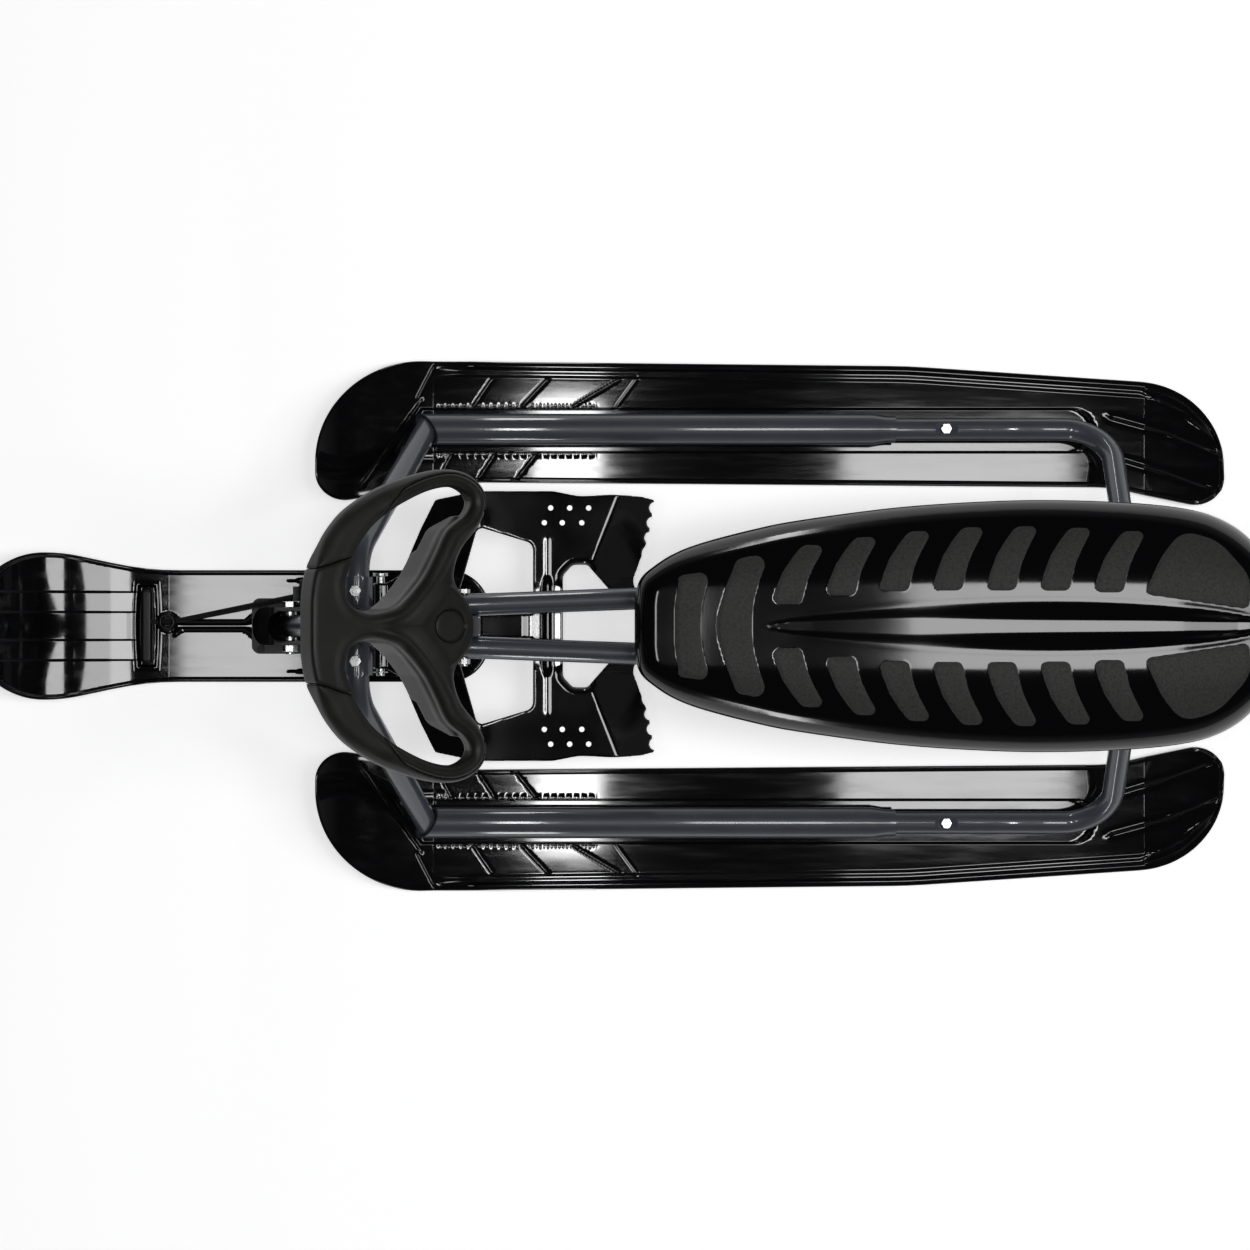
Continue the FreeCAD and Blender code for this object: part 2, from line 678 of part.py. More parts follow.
def frame_nuts():
    # On the cross bolts' left ends and under the arch sockets
    nuts = []
    for x in CROSS_BOLT_XS:
        p = spine_point(x)
        seat = V(x, p.y + SPINE_R + PART_GAP, p.z)
        nuts.append(hex_nut(seat, V(0, 1, 0), FRAME_BOLT_R, FRAME_HEAD_R, FRAME_NUT))
    arch = V(ARCH_CROWN_X, (SOCKET_IN_Y + SOCKET_OUT_Y) / 2, ARCH_CROWN_Z - ARCH_R - SOCKET_WALL)
    under = hex_nut(arch, V(0, 0, -1), FRAME_BOLT_R, FRAME_HEAD_R, ARCH_NUT)
    return Part.makeCompound(nuts + [under, mirrored(under)])


def spine_tube():
    p, q = spine_point(SPINE_FRONT_X), spine_point(SPINE_JOINT_X)
    solid = rod(p, q, SPINE_R).cut(rod(p, q, SPINE_R - TUBE_WALL))
    head = on_axis(Part.makeCylinder(HEAD_R + RUNNING_GAP, THROUGH))
    return solid.cut([head] + [cross_bolt(x, PART_GAP / 2) for x in CROSS_BOLT_XS])


def rear_leg():
    joint, turn = spine_point(SPINE_JOINT_X), spine_point(LEG_X)
    foot = V(LEG_X, SKI_TUBE_Y, SKI_TUBE_Z)
    end = V(SWAGE_X + LEG_INSERT, SKI_TUBE_Y, SKI_TUBE_Z)
    path = rounded([(joint, 0), (turn, LEG_BEND_R), (foot, LEG_BEND_R), (end, 0)], closed=False)
    leg = tube(path, LEG_R)
    ahead = unit(joint - turn)
    spigot = rod(joint, joint + ahead * SPIGOT_LENGTH, SPINE_R - TUBE_WALL - RUNNING_GAP)
    shoulder = rod(joint - ahead * LEG_SHOULDER, joint, LEG_R)
    plug = rod(V(SKI_BOLT_X - LEG_PLUG_LENGTH / 2, foot.y, foot.z),
               V(SKI_BOLT_X + LEG_PLUG_LENGTH / 2, foot.y, foot.z), LEG_R)
    dimple = Part.makeSphere(DIMPLE_R, V(SKI_BOLT_X, foot.y, foot.z + LEG_R - DIMPLE_DEPTH + DIMPLE_R))
    return fused([leg, shoulder, spigot, plug]).cut([dimple, ski_bolt(PART_GAP / 2)])


# Steering head: a welded piece that takes the arch, the spine and the brake's hinge pin
def brake_pin(grow=0.0):
    reach = KNUCKLE_OUT_Y + PART_GAP + PIN_END
    pin = rod(V(BRAKE_X, -reach, BRAKE_Z), V(BRAKE_X, reach, BRAKE_Z), BRAKE_PIN_R + grow)
    head = rod(V(BRAKE_X, -reach - PIN_HEAD, BRAKE_Z), V(BRAKE_X, -reach, BRAKE_Z), BRAKE_PIN_R + PIN_HEAD_OUT)
    return pin.fuse(head).removeSplitter()


def pin_clip():
    near, far = V(BRAKE_X, KNUCKLE_OUT_Y + PART_GAP + CLIP_OUT, BRAKE_Z), V(0, CLIP_SHEET, 0)
    outer = BRAKE_PIN_R + PIN_HEAD_OUT
    mouth = box(near - V(0, 0, CLIP_MOUTH / 2), near + far + V(outer, 0, CLIP_MOUTH / 2))
    return rod(near, near + far, outer).cut([rod(near, near + far, BRAKE_PIN_R), mouth])


def steering_head():
    barrel = on_axis(Part.makeCylinder(HEAD_R, HEAD_HIGH - HEAD_LOW, V(0, 0, HEAD_LOW)))
    crown = V(ARCH_CROWN_X, 0, ARCH_CROWN_Z)
    side = V(0, 1, 0)
    socket = rod(crown - side * SOCKET_OUT_Y, crown + side * SOCKET_OUT_Y, ARCH_R + SOCKET_WALL)
    front_x = axis_x(SPINE_FRONT_Z)
    tail_half = spine_point(LUG_TAIL_X).y - SPINE_R - PART_GAP / 4
    front_half = spine_point(front_x).y - SPINE_R - PART_GAP / 4
    lug_z = spine_point(CROSS_BOLT_XS[1]).z
    lug = prism([(LUG_TAIL_X, -tail_half, LUG_ROUND), (front_x, -front_half), (front_x, front_half),
                 (LUG_TAIL_X, tail_half, LUG_ROUND)], lug_z - LUG_HEIGHT / 2, lug_z + LUG_HEIGHT / 2)
    ear_line = [(BRAKE_X - EAR_REACH, BRAKE_Z - EAR_REACH, EAR_ROUND),
                (BRAKE_X + EAR_REACH, BRAKE_Z - EAR_REACH, EAR_ROUND),
                (ARCH_CROWN_X, BRAKE_Z + EAR_FRONT_UP, EAR_CORNER), (ARCH_CROWN_X, ARCH_CROWN_Z),
                (BRAKE_X, ARCH_CROWN_Z), (BRAKE_X, ARCH_CROWN_Z - EAR_DROP, EAR_CORNER),
                (BRAKE_X - EAR_REACH, BRAKE_Z + EAR_NECK_UP, EAR_CORNER)]
    ear = side_prism(ear_line, EAR_IN_Y, EAR_IN_Y + EAR_SHEET)
    head = fused([barrel, socket, lug, ear, mirrored(ear)])
    bore = on_axis(Part.makeCylinder(HEAD_BORE_R, THROUGH))
    arch_bore = rod(crown + side * SOCKET_IN_Y, crown + side * THROUGH, ARCH_R + RUNNING_GAP)
    cuts = [bore, arch_bore, mirrored(arch_bore), arch_bolt(PART_GAP / 2), mirrored(arch_bolt(PART_GAP / 2))]
    cuts.append(rod(V(BRAKE_X, -THROUGH, BRAKE_Z), V(BRAKE_X, THROUGH, BRAKE_Z), BRAKE_PIN_R + RUNNING_GAP))
    cuts += [cross_bolt(x, PART_GAP / 2) for x in CROSS_BOLT_XS]
    return head.cut(cuts)


def head_bush(end, way):
    # A flanged sleeve pressed in from one end of the head
    r = HEAD_BORE_R - RUNNING_GAP
    sleeve = Part.makeCylinder(r, BUSH_LENGTH, V(0, 0, end), V(0, 0, -way))
    flange = Part.makeCylinder(HEAD_R, BUSH_FLANGE, V(0, 0, end), V(0, 0, way))
    hole = Part.makeCylinder(SHAFT_R + RUNNING_GAP, THROUGH)
    return on_axis(sleeve.fuse(flange).removeSplitter().cut(hole))


# Steering shaft and wheel, in the steering axis's own frame
def steering_shaft():
    shaft = Part.makeCylinder(SHAFT_R, WHEEL_UP - SHAFT_TOP_DOWN + SHAFT_FOOT, V(0, 0, -SHAFT_FOOT))
    hollow = Part.makeCylinder(SHAFT_R - SHAFT_WALL, WHEEL_UP, V(0, 0, SHAFT_PLUG))
    pivot = rod(V(0, -THROUGH, 0), V(0, THROUGH, 0), BOLT_R + RUNNING_GAP)
    return on_axis(shaft.cut([hollow, pivot, wheel_bolt(PART_GAP / 2)]))


def collars():
    high = HEAD_HIGH + BUSH_FLANGE + PART_GAP
    low = HEAD_LOW - BUSH_FLANGE - PART_GAP - COLLAR_HEIGHT
    rings = []
    for z in (low, high):
        ring = Part.makeCylinder(COLLAR_R, COLLAR_HEIGHT, V(0, 0, z))
        rings.append(ring.cut(Part.makeCylinder(SHAFT_R, COLLAR_HEIGHT, V(0, 0, z))))
    return on_axis(Part.makeCompound(rings))


def wheel_bolt(grow=0.0):
    z = WHEEL_UP - WHEEL_BOLT_DOWN
    reach = HUB_FOOT_R + (HUB_R - HUB_FOOT_R) / 2
    return hex_bolt(V(0, -reach, z), V(0, 1, 0), FRAME_BOLT_R + grow, reach * 2, FRAME_HEAD_R, FRAME_HEAD)


def rim_path(run_on):
    # The middle of the rim's left side: from the front seam, round the horn, to the spoke
    front = WHEEL_FRONT - RIM_INSET
    points = [(V(front, SEAM_Y - run_on, WHEEL_UP), 0),
              (V(front, SEAM_Y + RIM_SHOULDER, WHEEL_UP), RIM_FRONT_R),
              (V(RIM_WIDE_X, RIM_HALF, WHEEL_UP), RIM_SIDE_R), (V(-HORN_BACK, RIM_HALF, WHEEL_UP), HORN_R),
              (V(-HORN_BACK, RIM_HALF - HORN_DEPTH, WHEEL_UP), HORN_R)]
    run = V(HORN_RUN[0], -HORN_RUN[1], 0)
    last = points[-1][0] + run + unit(run) * run_on
    return rounded(points + [(last, 0)], closed=False)


def wheel_grip():
    return on_axis(pipe(rim_path(0), RIM_R).cut(pipe(rim_path(0), RIM_CORE_R + RUNNING_GAP)))


def both_halves(half):
    # A closed outline from its left half, drawn from front to rear
    return half + [(p[0], -p[1]) + tuple(p[2:]) for p in reversed(half)]


def wheel_web():
    # The deep wall under the front edge of both wings
    front = [(p[0] - EDGE_ROUND, p[1]) for p in WING_FRONT]
    rear = [(x - WEB_WALL, y) for x, y in reversed(front)]
    return prism(both_halves(front + rear[:-1]), WHEEL_UP - WEB_DEPTH, WHEEL_UP)


def wheel_core():
    inner = WHEEL_FRONT - FRONT_FACE
    face = [(WHEEL_FRONT, SEAM_Y), (inner, SEAM_Y), (inner, SPOKE_HALF, 2 * SPOKE_HALF)]
    plate = prism(both_halves(face + WING_FRONT + WING_REAR), WHEEL_UP - RIM_R, WHEEL_UP + RIM_R)
    flat_edges = [e for e in plate.Edges if abs(e.BoundBox.ZMax - e.BoundBox.ZMin) < 0.01]
    plate = plate.makeFillet(EDGE_ROUND, flat_edges)
    hub = Part.makeCone(HUB_FOOT_R, HUB_R, HUB_DEPTH, V(HUB_X, 0, WHEEL_UP - HUB_DEPTH))
    last = rim_path(0).Edges[-1]
    past_spoke = half_space(last.valueAt(last.LastParameter), last.tangentAt(last.LastParameter) * -1)
    core = fused([plate, wheel_web()]).cut([past_spoke, mirrored(past_spoke)])
    wire = pipe(rim_path(RIM_CORE_IN), RIM_CORE_R)
    core = fused([core, hub, wire, mirrored(wire)])
    socket = Part.makeCylinder(SHAFT_R + RUNNING_GAP, WHEEL_UP - SHAFT_TOP_DOWN + PART_GAP)
    cap_seat = Part.makeCylinder(HUB_CAP_R + PART_GAP / 2, HUB_CAP, V(0, 0, WHEEL_UP + RIM_R - HUB_CAP_SINK))
    return on_axis(core.cut([socket, cap_seat, wheel_bolt(PART_GAP / 2)]))


def hub_cap():
    cap = Part.makeCylinder(HUB_CAP_R, HUB_CAP, V(0, 0, WHEEL_UP + RIM_R - HUB_CAP_SINK))
    return on_axis(cap.makeFillet(HUB_CAP_ROUND, [cap.Edges[0]]))


# Seat: a crowned shell on a base plate, carried by two brackets on the tubes
def seat_section(station, inset):
    back, half, crown = station
    x = SEAT_NOSE_X + back * (SEAT_TAIL_X - SEAT_NOSE_X)
    crown = crown * SEAT_CROWN
    w, low, top = half * SEAT_HALF - inset, SEAT_BOTTOM_Z, SEAT_BOTTOM_Z + crown - inset
    shoulder = V(x, 0.72 * w, top - 0.22 * crown)
    foot = V(x, w - SEAT_TUCK, low)
    flip = [V(p.x, -p.y, p.z) for p in (shoulder, foot)]
    side = V(x, 0.968 * w, low + 0.42 * crown)
    edges = [Part.LineSegment(flip[1], foot), Part.Arc(foot, side, shoulder),
             Part.Arc(shoulder, V(x, 0, top), flip[0]), Part.Arc(flip[0], V(x, -side.y, side.z), flip[1])]
    return Part.Wire([e.toShape() for e in edges])


def seat_body(inset):
    stations = SEAT_STATIONS[1:-1] if inset else SEAT_STATIONS
    return Part.makeLoft([seat_section(s, inset) for s in stations], True, False)


def seat_groove():
    # A lens in plan, cut to an even depth below the crown
    tail = SEAT_TAIL_X + GROOVE_TAIL
    middle = (GROOVE_FRONT_X + tail) / 2
    ends = V(GROOVE_FRONT_X, 0, 0), V(tail, 0, 0)
    arcs = [Part.Arc(ends[0], V(middle, GROOVE_HALF, 0), ends[1]),
            Part.Arc(ends[1], V(middle, -GROOVE_HALF, 0), ends[0])]
    lens = Part.Face(Part.Wire([a.toShape() for a in arcs])).extrude(V(0, 0, THROUGH))
    floor = seat_body(0)
    floor.translate(V(0, 0, -GROOVE_DEPTH))
    return lens.cut(floor)


def seat_shell():
    shell = seat_body(0).cut(seat_groove())
    hollow = seat_body(SEAT_WALL + GROOVE_DEPTH)
    lowered = hollow.copy()
    lowered.translate(V(0, 0, -SEAT_CROWN / 3))
    return shell.cut([hollow, lowered]).cut(seat_screws(PART_GAP / 2))


def seat_base():
    plate = seat_body(SEAT_WALL + GROOVE_DEPTH + PART_GAP / 2)
    sheet = slab(V(0, 0, SEAT_BOTTOM_Z), V(0, 0, 1), SEAT_BASE_SHEET)
    return plate.common(sheet).cut(seat_screws(PART_GAP / 2))


def bracket_tube_r(x):
    return SPINE_R if x > SPINE_JOINT_X else LEG_R


def seat_bracket(x):
    # Straddles both tubes and carries the seat's base
    p = spine_point(x)
    r = bracket_tube_r(x)
    reach = p.y + r + SEAT_BRACKET_SIDE
    low, under = p.z - SEAT_BRACKET_DROP, SEAT_BOTTOM_Z - SEAT_BRACKET_TOP
    inner = p.y - r - SEAT_BRACKET_WALL
    half = [(reach, SEAT_BOTTOM_Z, 0), (reach, low, SEAT_BRACKET_ROUND), (inner, low, SEAT_BRACKET_ROUND),
            (inner - SEAT_BRACKET_FLARE, under, SEAT_BRACKET_ROUND)]
    line = half + [(-y, z, corner) for y, z, corner in reversed(half)]
    wire = rounded([(V(x - SEAT_BRACKET_LENGTH / 2, y, z), corner) for y, z, corner in line])
    block = Part.Face(wire).extrude(V(SEAT_BRACKET_LENGTH, 0, 0))
    channel = rod(spine_point(x + SEAT_BRACKET_LENGTH), spine_point(x - SEAT_BRACKET_LENGTH), r + RUNNING_GAP)
    return block.cut([channel, mirrored(channel)]).cut(seat_screws(PART_GAP / 2))


def seat_screws(grow=0.0):
    length = SEAT_BRACKET_TOP + SEAT_BASE_SHEET + SEAT_SCREW_END
    screws = []
    for x in SEAT_BRACKET_XS:
        for y in (-SEAT_SCREW_Y, SEAT_SCREW_Y):
            seat = V(x, y, SEAT_BOTTOM_Z - SEAT_BRACKET_TOP)
            screws.append(hex_bolt(seat, V(0, 0, 1), SEAT_SCREW_R + grow, length, SEAT_SCREW_HEAD_R,
                                   SEAT_SCREW_HEAD))
    return Part.makeCompound(screws)


# Brake: a pressed plate with foot panels, hinged on the steering head
def brake_panel(points, point, normal):
    # A sheet with this outline in plan, lying on a sloping plane
    return prism(points, 0, THROUGH).common(slab(point, normal, BRAKE_SHEET))


def brake_half():
    # The left half, drawn a little past the middle and cut there
    past = -BRAKE_SHEET
    rise = unit(V(BRAKE_X - FOLD_X, 0, BRAKE_Z - FOOT_Z))
    front_up = V(-rise.z, 0, rise.x)
    hinge_x = BRAKE_X - KNUCKLE_R
    front = [(FOLD_X, BRAKE_HALF)] + [(x, y, BEAD_R) for x, y in PANEL_OUTER]
    front += [(hinge_x, KNUCKLE_OUT_Y), (BRAKE_X, KNUCKLE_OUT_Y), (BRAKE_X, KNUCKLE_IN_Y),
              (hinge_x - KNUCKLE_R, KNUCKLE_IN_Y), (hinge_x - 2 * KNUCKLE_R, past), (WINDOW_FRONT_X, past),
              (WINDOW_FRONT_X, TONGUE_HALF + KNUCKLE_IN_Y, WINDOW_ROUND), (FOLD_X, WINDOW_HALF)]
    outer_end = (REAR_FOLD[0][0], FOOT_OUTER[0][1], BEAD_R)
    foot = [(FOLD_X, BRAKE_HALF), (FOLD_X, WINDOW_HALF), (CROSSBAR_FRONT_X, WINDOW_REAR_HALF, WINDOW_ROUND),
            (CROSSBAR_FRONT_X, past), (CROSSBAR_REAR_X, past), (CROSSBAR_REAR_X, HOLE_HALF, BEAD_R)]
    foot += FOOT_INNER + [REAR_FOLD[1], REAR_FOLD[0], outer_end] + FOOT_OUTER
    tongue = [(CROSSBAR_FRONT_X - BRAKE_SHEET, past), (FOLD_X, past), (FOLD_X, TONGUE_HALF),
              (CROSSBAR_FRONT_X - BRAKE_SHEET, TONGUE_HALF)]
    tongue_front = [(FOLD_X, past), (TONGUE_FRONT_X, past), (TONGUE_FRONT_X, TONGUE_HALF),
                    (FOLD_X, TONGUE_HALF)]
    a, b = [V(x, y, FOOT_Z) for x, y in REAR_FOLD]
    c = V(TOOTH_LINE[0][0], TOOTH_LINE[0][1], TOOTH_Z)
    rear_up = unit((b - a).cross(c - a))
    rear_up = rear_up if rear_up.z > 0 else rear_up * -1
    rear = [REAR_FOLD[0], outer_end[:2]] + FLANGE_OUTER + [TOOTH_LINE[0] + (BRAKE_SHEET,), TOOTH_LINE[1]]
    rear += FLANGE_INNER + [REAR_FOLD[1]]
    fold = V(FOLD_X, 0, FOOT_Z)
    start, end = [V(x, y, 0) for x, y in TOOTH_LINE]
    along = unit(end - start)
    bites = [Part.makeCylinder(TOOTH_BITE_R, THROUGH,
                               start + along * (TOOTH_FIRST + TOOTH_PITCH * i) - V(TOOTH_BITE_BACK, 0, 0))
             for i in range(TOOTH_COUNT)]
    level = V(0, 0, 1)
    half = fused([brake_panel(front, fold, front_up), brake_panel(foot, fold, level),
                  brake_panel(rear, a, rear_up).cut(bites), brake_panel(tongue, fold, level),
                  brake_panel(tongue_front, fold, front_up)])
    knuckle = rod(V(BRAKE_X, KNUCKLE_IN_Y, BRAKE_Z), V(BRAKE_X, KNUCKLE_OUT_Y, BRAKE_Z), KNUCKLE_R)
    top = FOOT_Z + BRAKE_SHEET
    bead = rod(V(BEAD_X, past, top - BEAD_SINK), V(BEAD_X, BEAD_HALF, top - BEAD_SINK), BEAD_R)
    pips = [Part.makeSphere(PIP_R, V(x, y, top - PIP_SINK)) for x, y in PIP_PLACES]
    below = half_space(V(0, 0, FOOT_Z + BRAKE_SHEET / 2), V(0, 0, -1))
    half = fused([half, knuckle] + [s.cut(below) for s in [bead] + pips])
    pin = rod(V(BRAKE_X, -THROUGH, BRAKE_Z), V(BRAKE_X, THROUGH, BRAKE_Z), BRAKE_PIN_R + RUNNING_GAP)
    return half.cut([pin, half_space(V(0, 0, 0), V(0, -1, 0))])


def brake_plate():
    half = brake_half()
    return half.fuse(mirrored(half)).removeSplitter()


def return_spring():
    # A torsion spring on the pin: turns between the ears, one leg up to the lug, one under the plate
    slope = math.atan2(BRAKE_Z - FOOT_Z, BRAKE_X - FOLD_X)
    first = slope - math.pi / 2

    def at(turn):
        a = first + 2 * math.pi * turn
        y = (turn - SPRING_TURNS / 2) * SPRING_PITCH
        return V(BRAKE_X + SPRING_R * math.cos(a), y, BRAKE_Z + SPRING_R * math.sin(a))
    start, end = at(0), at(SPRING_TURNS)
    plate_leg = start - V(math.cos(slope), 0, math.sin(slope)) * SPRING_LEG
    head_leg = end + V(math.cos(slope), 0, math.sin(slope)) * SPRING_HEAD_LEG
    edges = [Part.LineSegment(plate_leg, start).toShape()]
    edges += [Part.Arc(at(i / 2), at(i / 2 + 0.25), at(i / 2 + 0.5)).toShape() for i in range(2 * SPRING_TURNS)]
    edges.append(Part.LineSegment(end, head_leg).toShape())
    print("spring gap to itself", round(SPRING_PITCH - 2 * SPRING_WIRE_R, 2))
    return pipe(Part.Wire(edges), SPRING_WIRE_R)


# Front ski
def front_ribbon(low, high):
    # The front ski's side view between two heights above its sole: flat, with a rising nose
    sweep = math.asin((NOSE_X - FRONT_BEND_X + FRONT_RIM) / (FRONT_BEND_R - FRONT_BASE - RIB_HEIGHT))
    edges = []
    tips = []
    tails = []
    for h in (low, high):
        r = FRONT_BEND_R - h
        foot, middle, tip = [V(FRONT_BEND_X + r * math.sin(a), -THROUGH / 2, FRONT_BEND_R - r * math.cos(a))
                             for a in (0, sweep / 2, sweep)]
        tail = V(FRONT_TAIL_X - FRONT_HALF, foot.y, h)
        edges.append(Part.Arc(foot, middle, tip).toShape())
        edges.append(Part.LineSegment(foot, tail).toShape())
        tips.append(tip)
        tails.append(tail)
    edges.append(Part.LineSegment(*tips).toShape())
    edges.append(Part.LineSegment(*tails).toShape())
    return Part.Face(Part.Wire(Part.__sortEdges__(edges))).extrude(V(0, THROUGH, 0))


def front_outline():
    return both_halves([(FRONT_TAIL_X, FRONT_HALF, FRONT_TAIL_ROUND), (FLARE_X, FRONT_HALF, FLARE_R),
                        (FLARE_END_X, FRONT_NOSE_HALF, FLARE_END_R),
                        (NOSE_X, FRONT_NOSE_HALF, FRONT_NOSE_ROUND)])


def crosswise(length, width, corner):
    # A rounded bar's plan, across the ski at the tow handle
    front, rear = HANDLE_X + width / 2, HANDLE_X - width / 2
    return both_halves([(front, length / 2, corner), (rear, length / 2, corner)])


def front_ski():
    up = V(0, 0, THROUGH)
    plan = flat(front_outline())
    rim = plan.cut(plan.makeOffset2D(-FRONT_RIM))
    base = front_ribbon(0, FRONT_BASE).common(plan.extrude(up))
    edge = front_ribbon(FRONT_BASE, FRONT_BASE + FRONT_RIM).common(rim.extrude(up))
    raised = FRONT_BASE + RIB_HEIGHT
    rib = box(V(BRACKET_FRONT_X, -RIB_HALF, 0), V(EYELET_X - EYELET_R, RIB_HALF, raised))
    rail = box(V(FRONT_TAIL_X + RAIL_BACK, RAIL_Y - RAIL_HALF, FRONT_BASE),
               V(PIVOT_X + RAIL_AHEAD, RAIL_Y + RAIL_HALF, raised))
    tail, nose = FRONT_TAIL_X + KEEL_BACK, FRONT_BEND_X - KEEL_FRONT
    keel = box(V(tail, -KEEL_HALF, 0), V(nose, KEEL_HALF, FRONT_BASE))
    near, far = FRONT_GROOVE
    groove = prism([(tail, near, near), (nose, near, near), (nose, far, near), (tail, far, near)], 0,
                   SOLE_GROOVE)
    deck = fused([base, edge, rib, rail, mirrored(rail)])
    ski = fused([deck.cut([groove, mirrored(groove)]), keel])
    slot = prism(crosswise(SLOT_LENGTH, SLOT_WIDTH, SLOT_CORNER), 0, THROUGH)
    lead = box(V(EYELET_X, ROPE_EXIT_Y - LEAD_HALF, 0), V(HANDLE_X, ROPE_EXIT_Y + LEAD_HALF, THROUGH))
    pocket = front_ribbon(SLOT_FLOOR, raised + FRONT_BASE).common(slot.fuse(lead))
    return ski.cut([pocket, eyelet_seat(), bracket_screws(PART_GAP / 2)])


def eyelet_seat():
    return Part.makeCylinder(EYELET_R + RUNNING_GAP, THROUGH, V(EYELET_X, ROPE_EXIT_Y, SLOT_FLOOR))


def rope_points():
    # The taut rope's line: handle, eyelet, snout of the reel
    z = FRONT_BASE + ROPE_R + ROPE_LIFT
    snout = V(REEL_X + REEL_R - SNOUT_IN, -BRACKET_HALF - REEL_WIDTH / 2, REEL_Z - SNOUT_DROP)
    eyelet = V(EYELET_X - EYELET_R + EYELET_LEAD, ROPE_EXIT_Y, z)
    return V(HANDLE_X - HANDLE_WIDTH / 2 + ROPE_IN_HANDLE, ROPE_EXIT_Y, z), eyelet, snout


def rope_path():
    a, b, c = rope_points()
    return rounded([(a, 0), (b, ROPE_BEND_R), (c, 0)], closed=False)


def tow_rope():
    return pipe(rope_path(), ROPE_R)


def rope_eyelet():
    height = rope_points()[1].z + EYELET_TOP - SLOT_FLOOR
    post = Part.makeCylinder(EYELET_R, height, V(EYELET_X, ROPE_EXIT_Y, SLOT_FLOOR))
    post = post.makeFillet(EYELET_ROUND, [post.Edges[0]])
    return post.cut(pipe(rope_path(), ROPE_R + PART_GAP / 2))


def tow_handle():
    a = rope_points()[0]
    low = SLOT_FLOOR + (HANDLE_X + SLOT_WIDTH / 2 - FRONT_BEND_X) ** 2 / (2 * FRONT_BEND_R) + PART_GAP
    bar = prism(crosswise(HANDLE_LENGTH, HANDLE_WIDTH, HANDLE_CORNER), low, low + HANDLE_HEIGHT)
    bar = bar.makeFillet(HANDLE_ROUND, [e for e in bar.Edges if abs(e.BoundBox.ZMax - e.BoundBox.ZMin) < 0.01])
    return bar.cut(rod(V(EYELET_X, ROPE_EXIT_Y, a.z), V(a.x, ROPE_EXIT_Y, a.z), ROPE_R))


# Bracket on the front ski, with the transverse pivot bolt
def ski_bracket():
    top = PIVOT_Z + BRACKET_TOP_UP
    side = side_prism([(BRACKET_REAR_X, FRONT_BASE), (BRACKET_FRONT_X, FRONT_BASE),
                       (BRACKET_FRONT_X, BRACKET_NOSE_Z, BRACKET_CORNER),
                       (PIVOT_X + BRACKET_TOP_AHEAD, top, BRACKET_CORNER),
                       (PIVOT_X - BRACKET_TOP_BACK, top, BRACKET_CORNER),
                       (BRACKET_REAR_X, BRACKET_TAIL_Z, BRACKET_CORNER)], -THROUGH / 2, THROUGH / 2)
    plan = [(BRACKET_REAR_X, -BRACKET_HALF), (BRACKET_FRONT_X, -BRACKET_HALF, BRACKET_ROUND),
            (BRACKET_FRONT_X, BRACKET_HALF, BRACKET_ROUND), (BRACKET_REAR_X, BRACKET_HALF)]
    body = side.common(prism(plan, 0, THROUGH))
    step_x, step_y = REEL_X + REEL_R + FLANGE_STEP, -BRACKET_HALF - FLANGE_FRONT
    rear, front = BRACKET_REAR_X - FLANGE_BACK, BRACKET_FRONT_X + FLANGE_FRONT
    flange = prism([(rear, step_y), (step_x, step_y), (step_x, -FLANGE_HALF),
                    (front, -FLANGE_HALF, BRACKET_CORNER), (front, FLANGE_HALF, BRACKET_CORNER),
                    (rear, FLANGE_HALF, BRACKET_CORNER)],
                   FRONT_BASE, FRONT_BASE + FLANGE_SHEET)
    mouth, g = PIVOT_X + BRACKET_MOUTH, BRACKET_GAP_HALF
    behind = rear - BRACKET_HALF
    gap = prism([(behind, -g), (mouth, -g, g - PART_GAP), (mouth, g, g - PART_GAP), (behind, g)],
                FRONT_BASE + FLANGE_SHEET, THROUGH)
    rib = box(V(BRACKET_FRONT_X - BRACKET_MOUTH, -RIB_HALF - PART_GAP, 0),
              V(front + FLANGE_FRONT, RIB_HALF + PART_GAP, FRONT_BASE + RIB_HEIGHT + PART_GAP))
    hole = rod(V(PIVOT_X, -THROUGH, PIVOT_Z), V(PIVOT_X, THROUGH, PIVOT_Z), BOLT_R + RUNNING_GAP)
    return fused([body, flange]).cut([gap, rib, hole, bracket_screws(PART_GAP / 2)])


def bracket_screws(grow=0.0):
    seats = [V(x, y, FRONT_BASE + FLANGE_SHEET) for x, y in SCREW_PLACES]
    return Part.makeCompound([hex_bolt(seat, V(0, 0, -1), SCREW_R + grow, FLANGE_SHEET + SCREW_SINK,
                                       SCREW_HEAD_R, SCREW_HEAD) for seat in seats])


def pivot_bolt():
    length = BRACKET_HALF * 2 + PIVOT_NUT + PIVOT_END
    return hex_bolt(V(PIVOT_X, -BRACKET_HALF, PIVOT_Z), V(0, 1, 0), BOLT_R, length, PIVOT_HEAD_R, PIVOT_HEAD)


def pivot_nut():
    return hex_nut(V(PIVOT_X, BRACKET_HALF, PIVOT_Z), V(0, 1, 0), BOLT_R, PIVOT_HEAD_R, PIVOT_NUT)


def pivot_spacers():
    inner, outer = V(PIVOT_X, SHAFT_R + PART_GAP, PIVOT_Z), V(PIVOT_X, BRACKET_GAP_HALF, PIVOT_Z)
    ring = rod(inner, outer, BOLT_R + SPACER_WALL).cut(rod(inner, outer, BOLT_R))
    return Part.makeCompound([ring, mirrored(ring)])


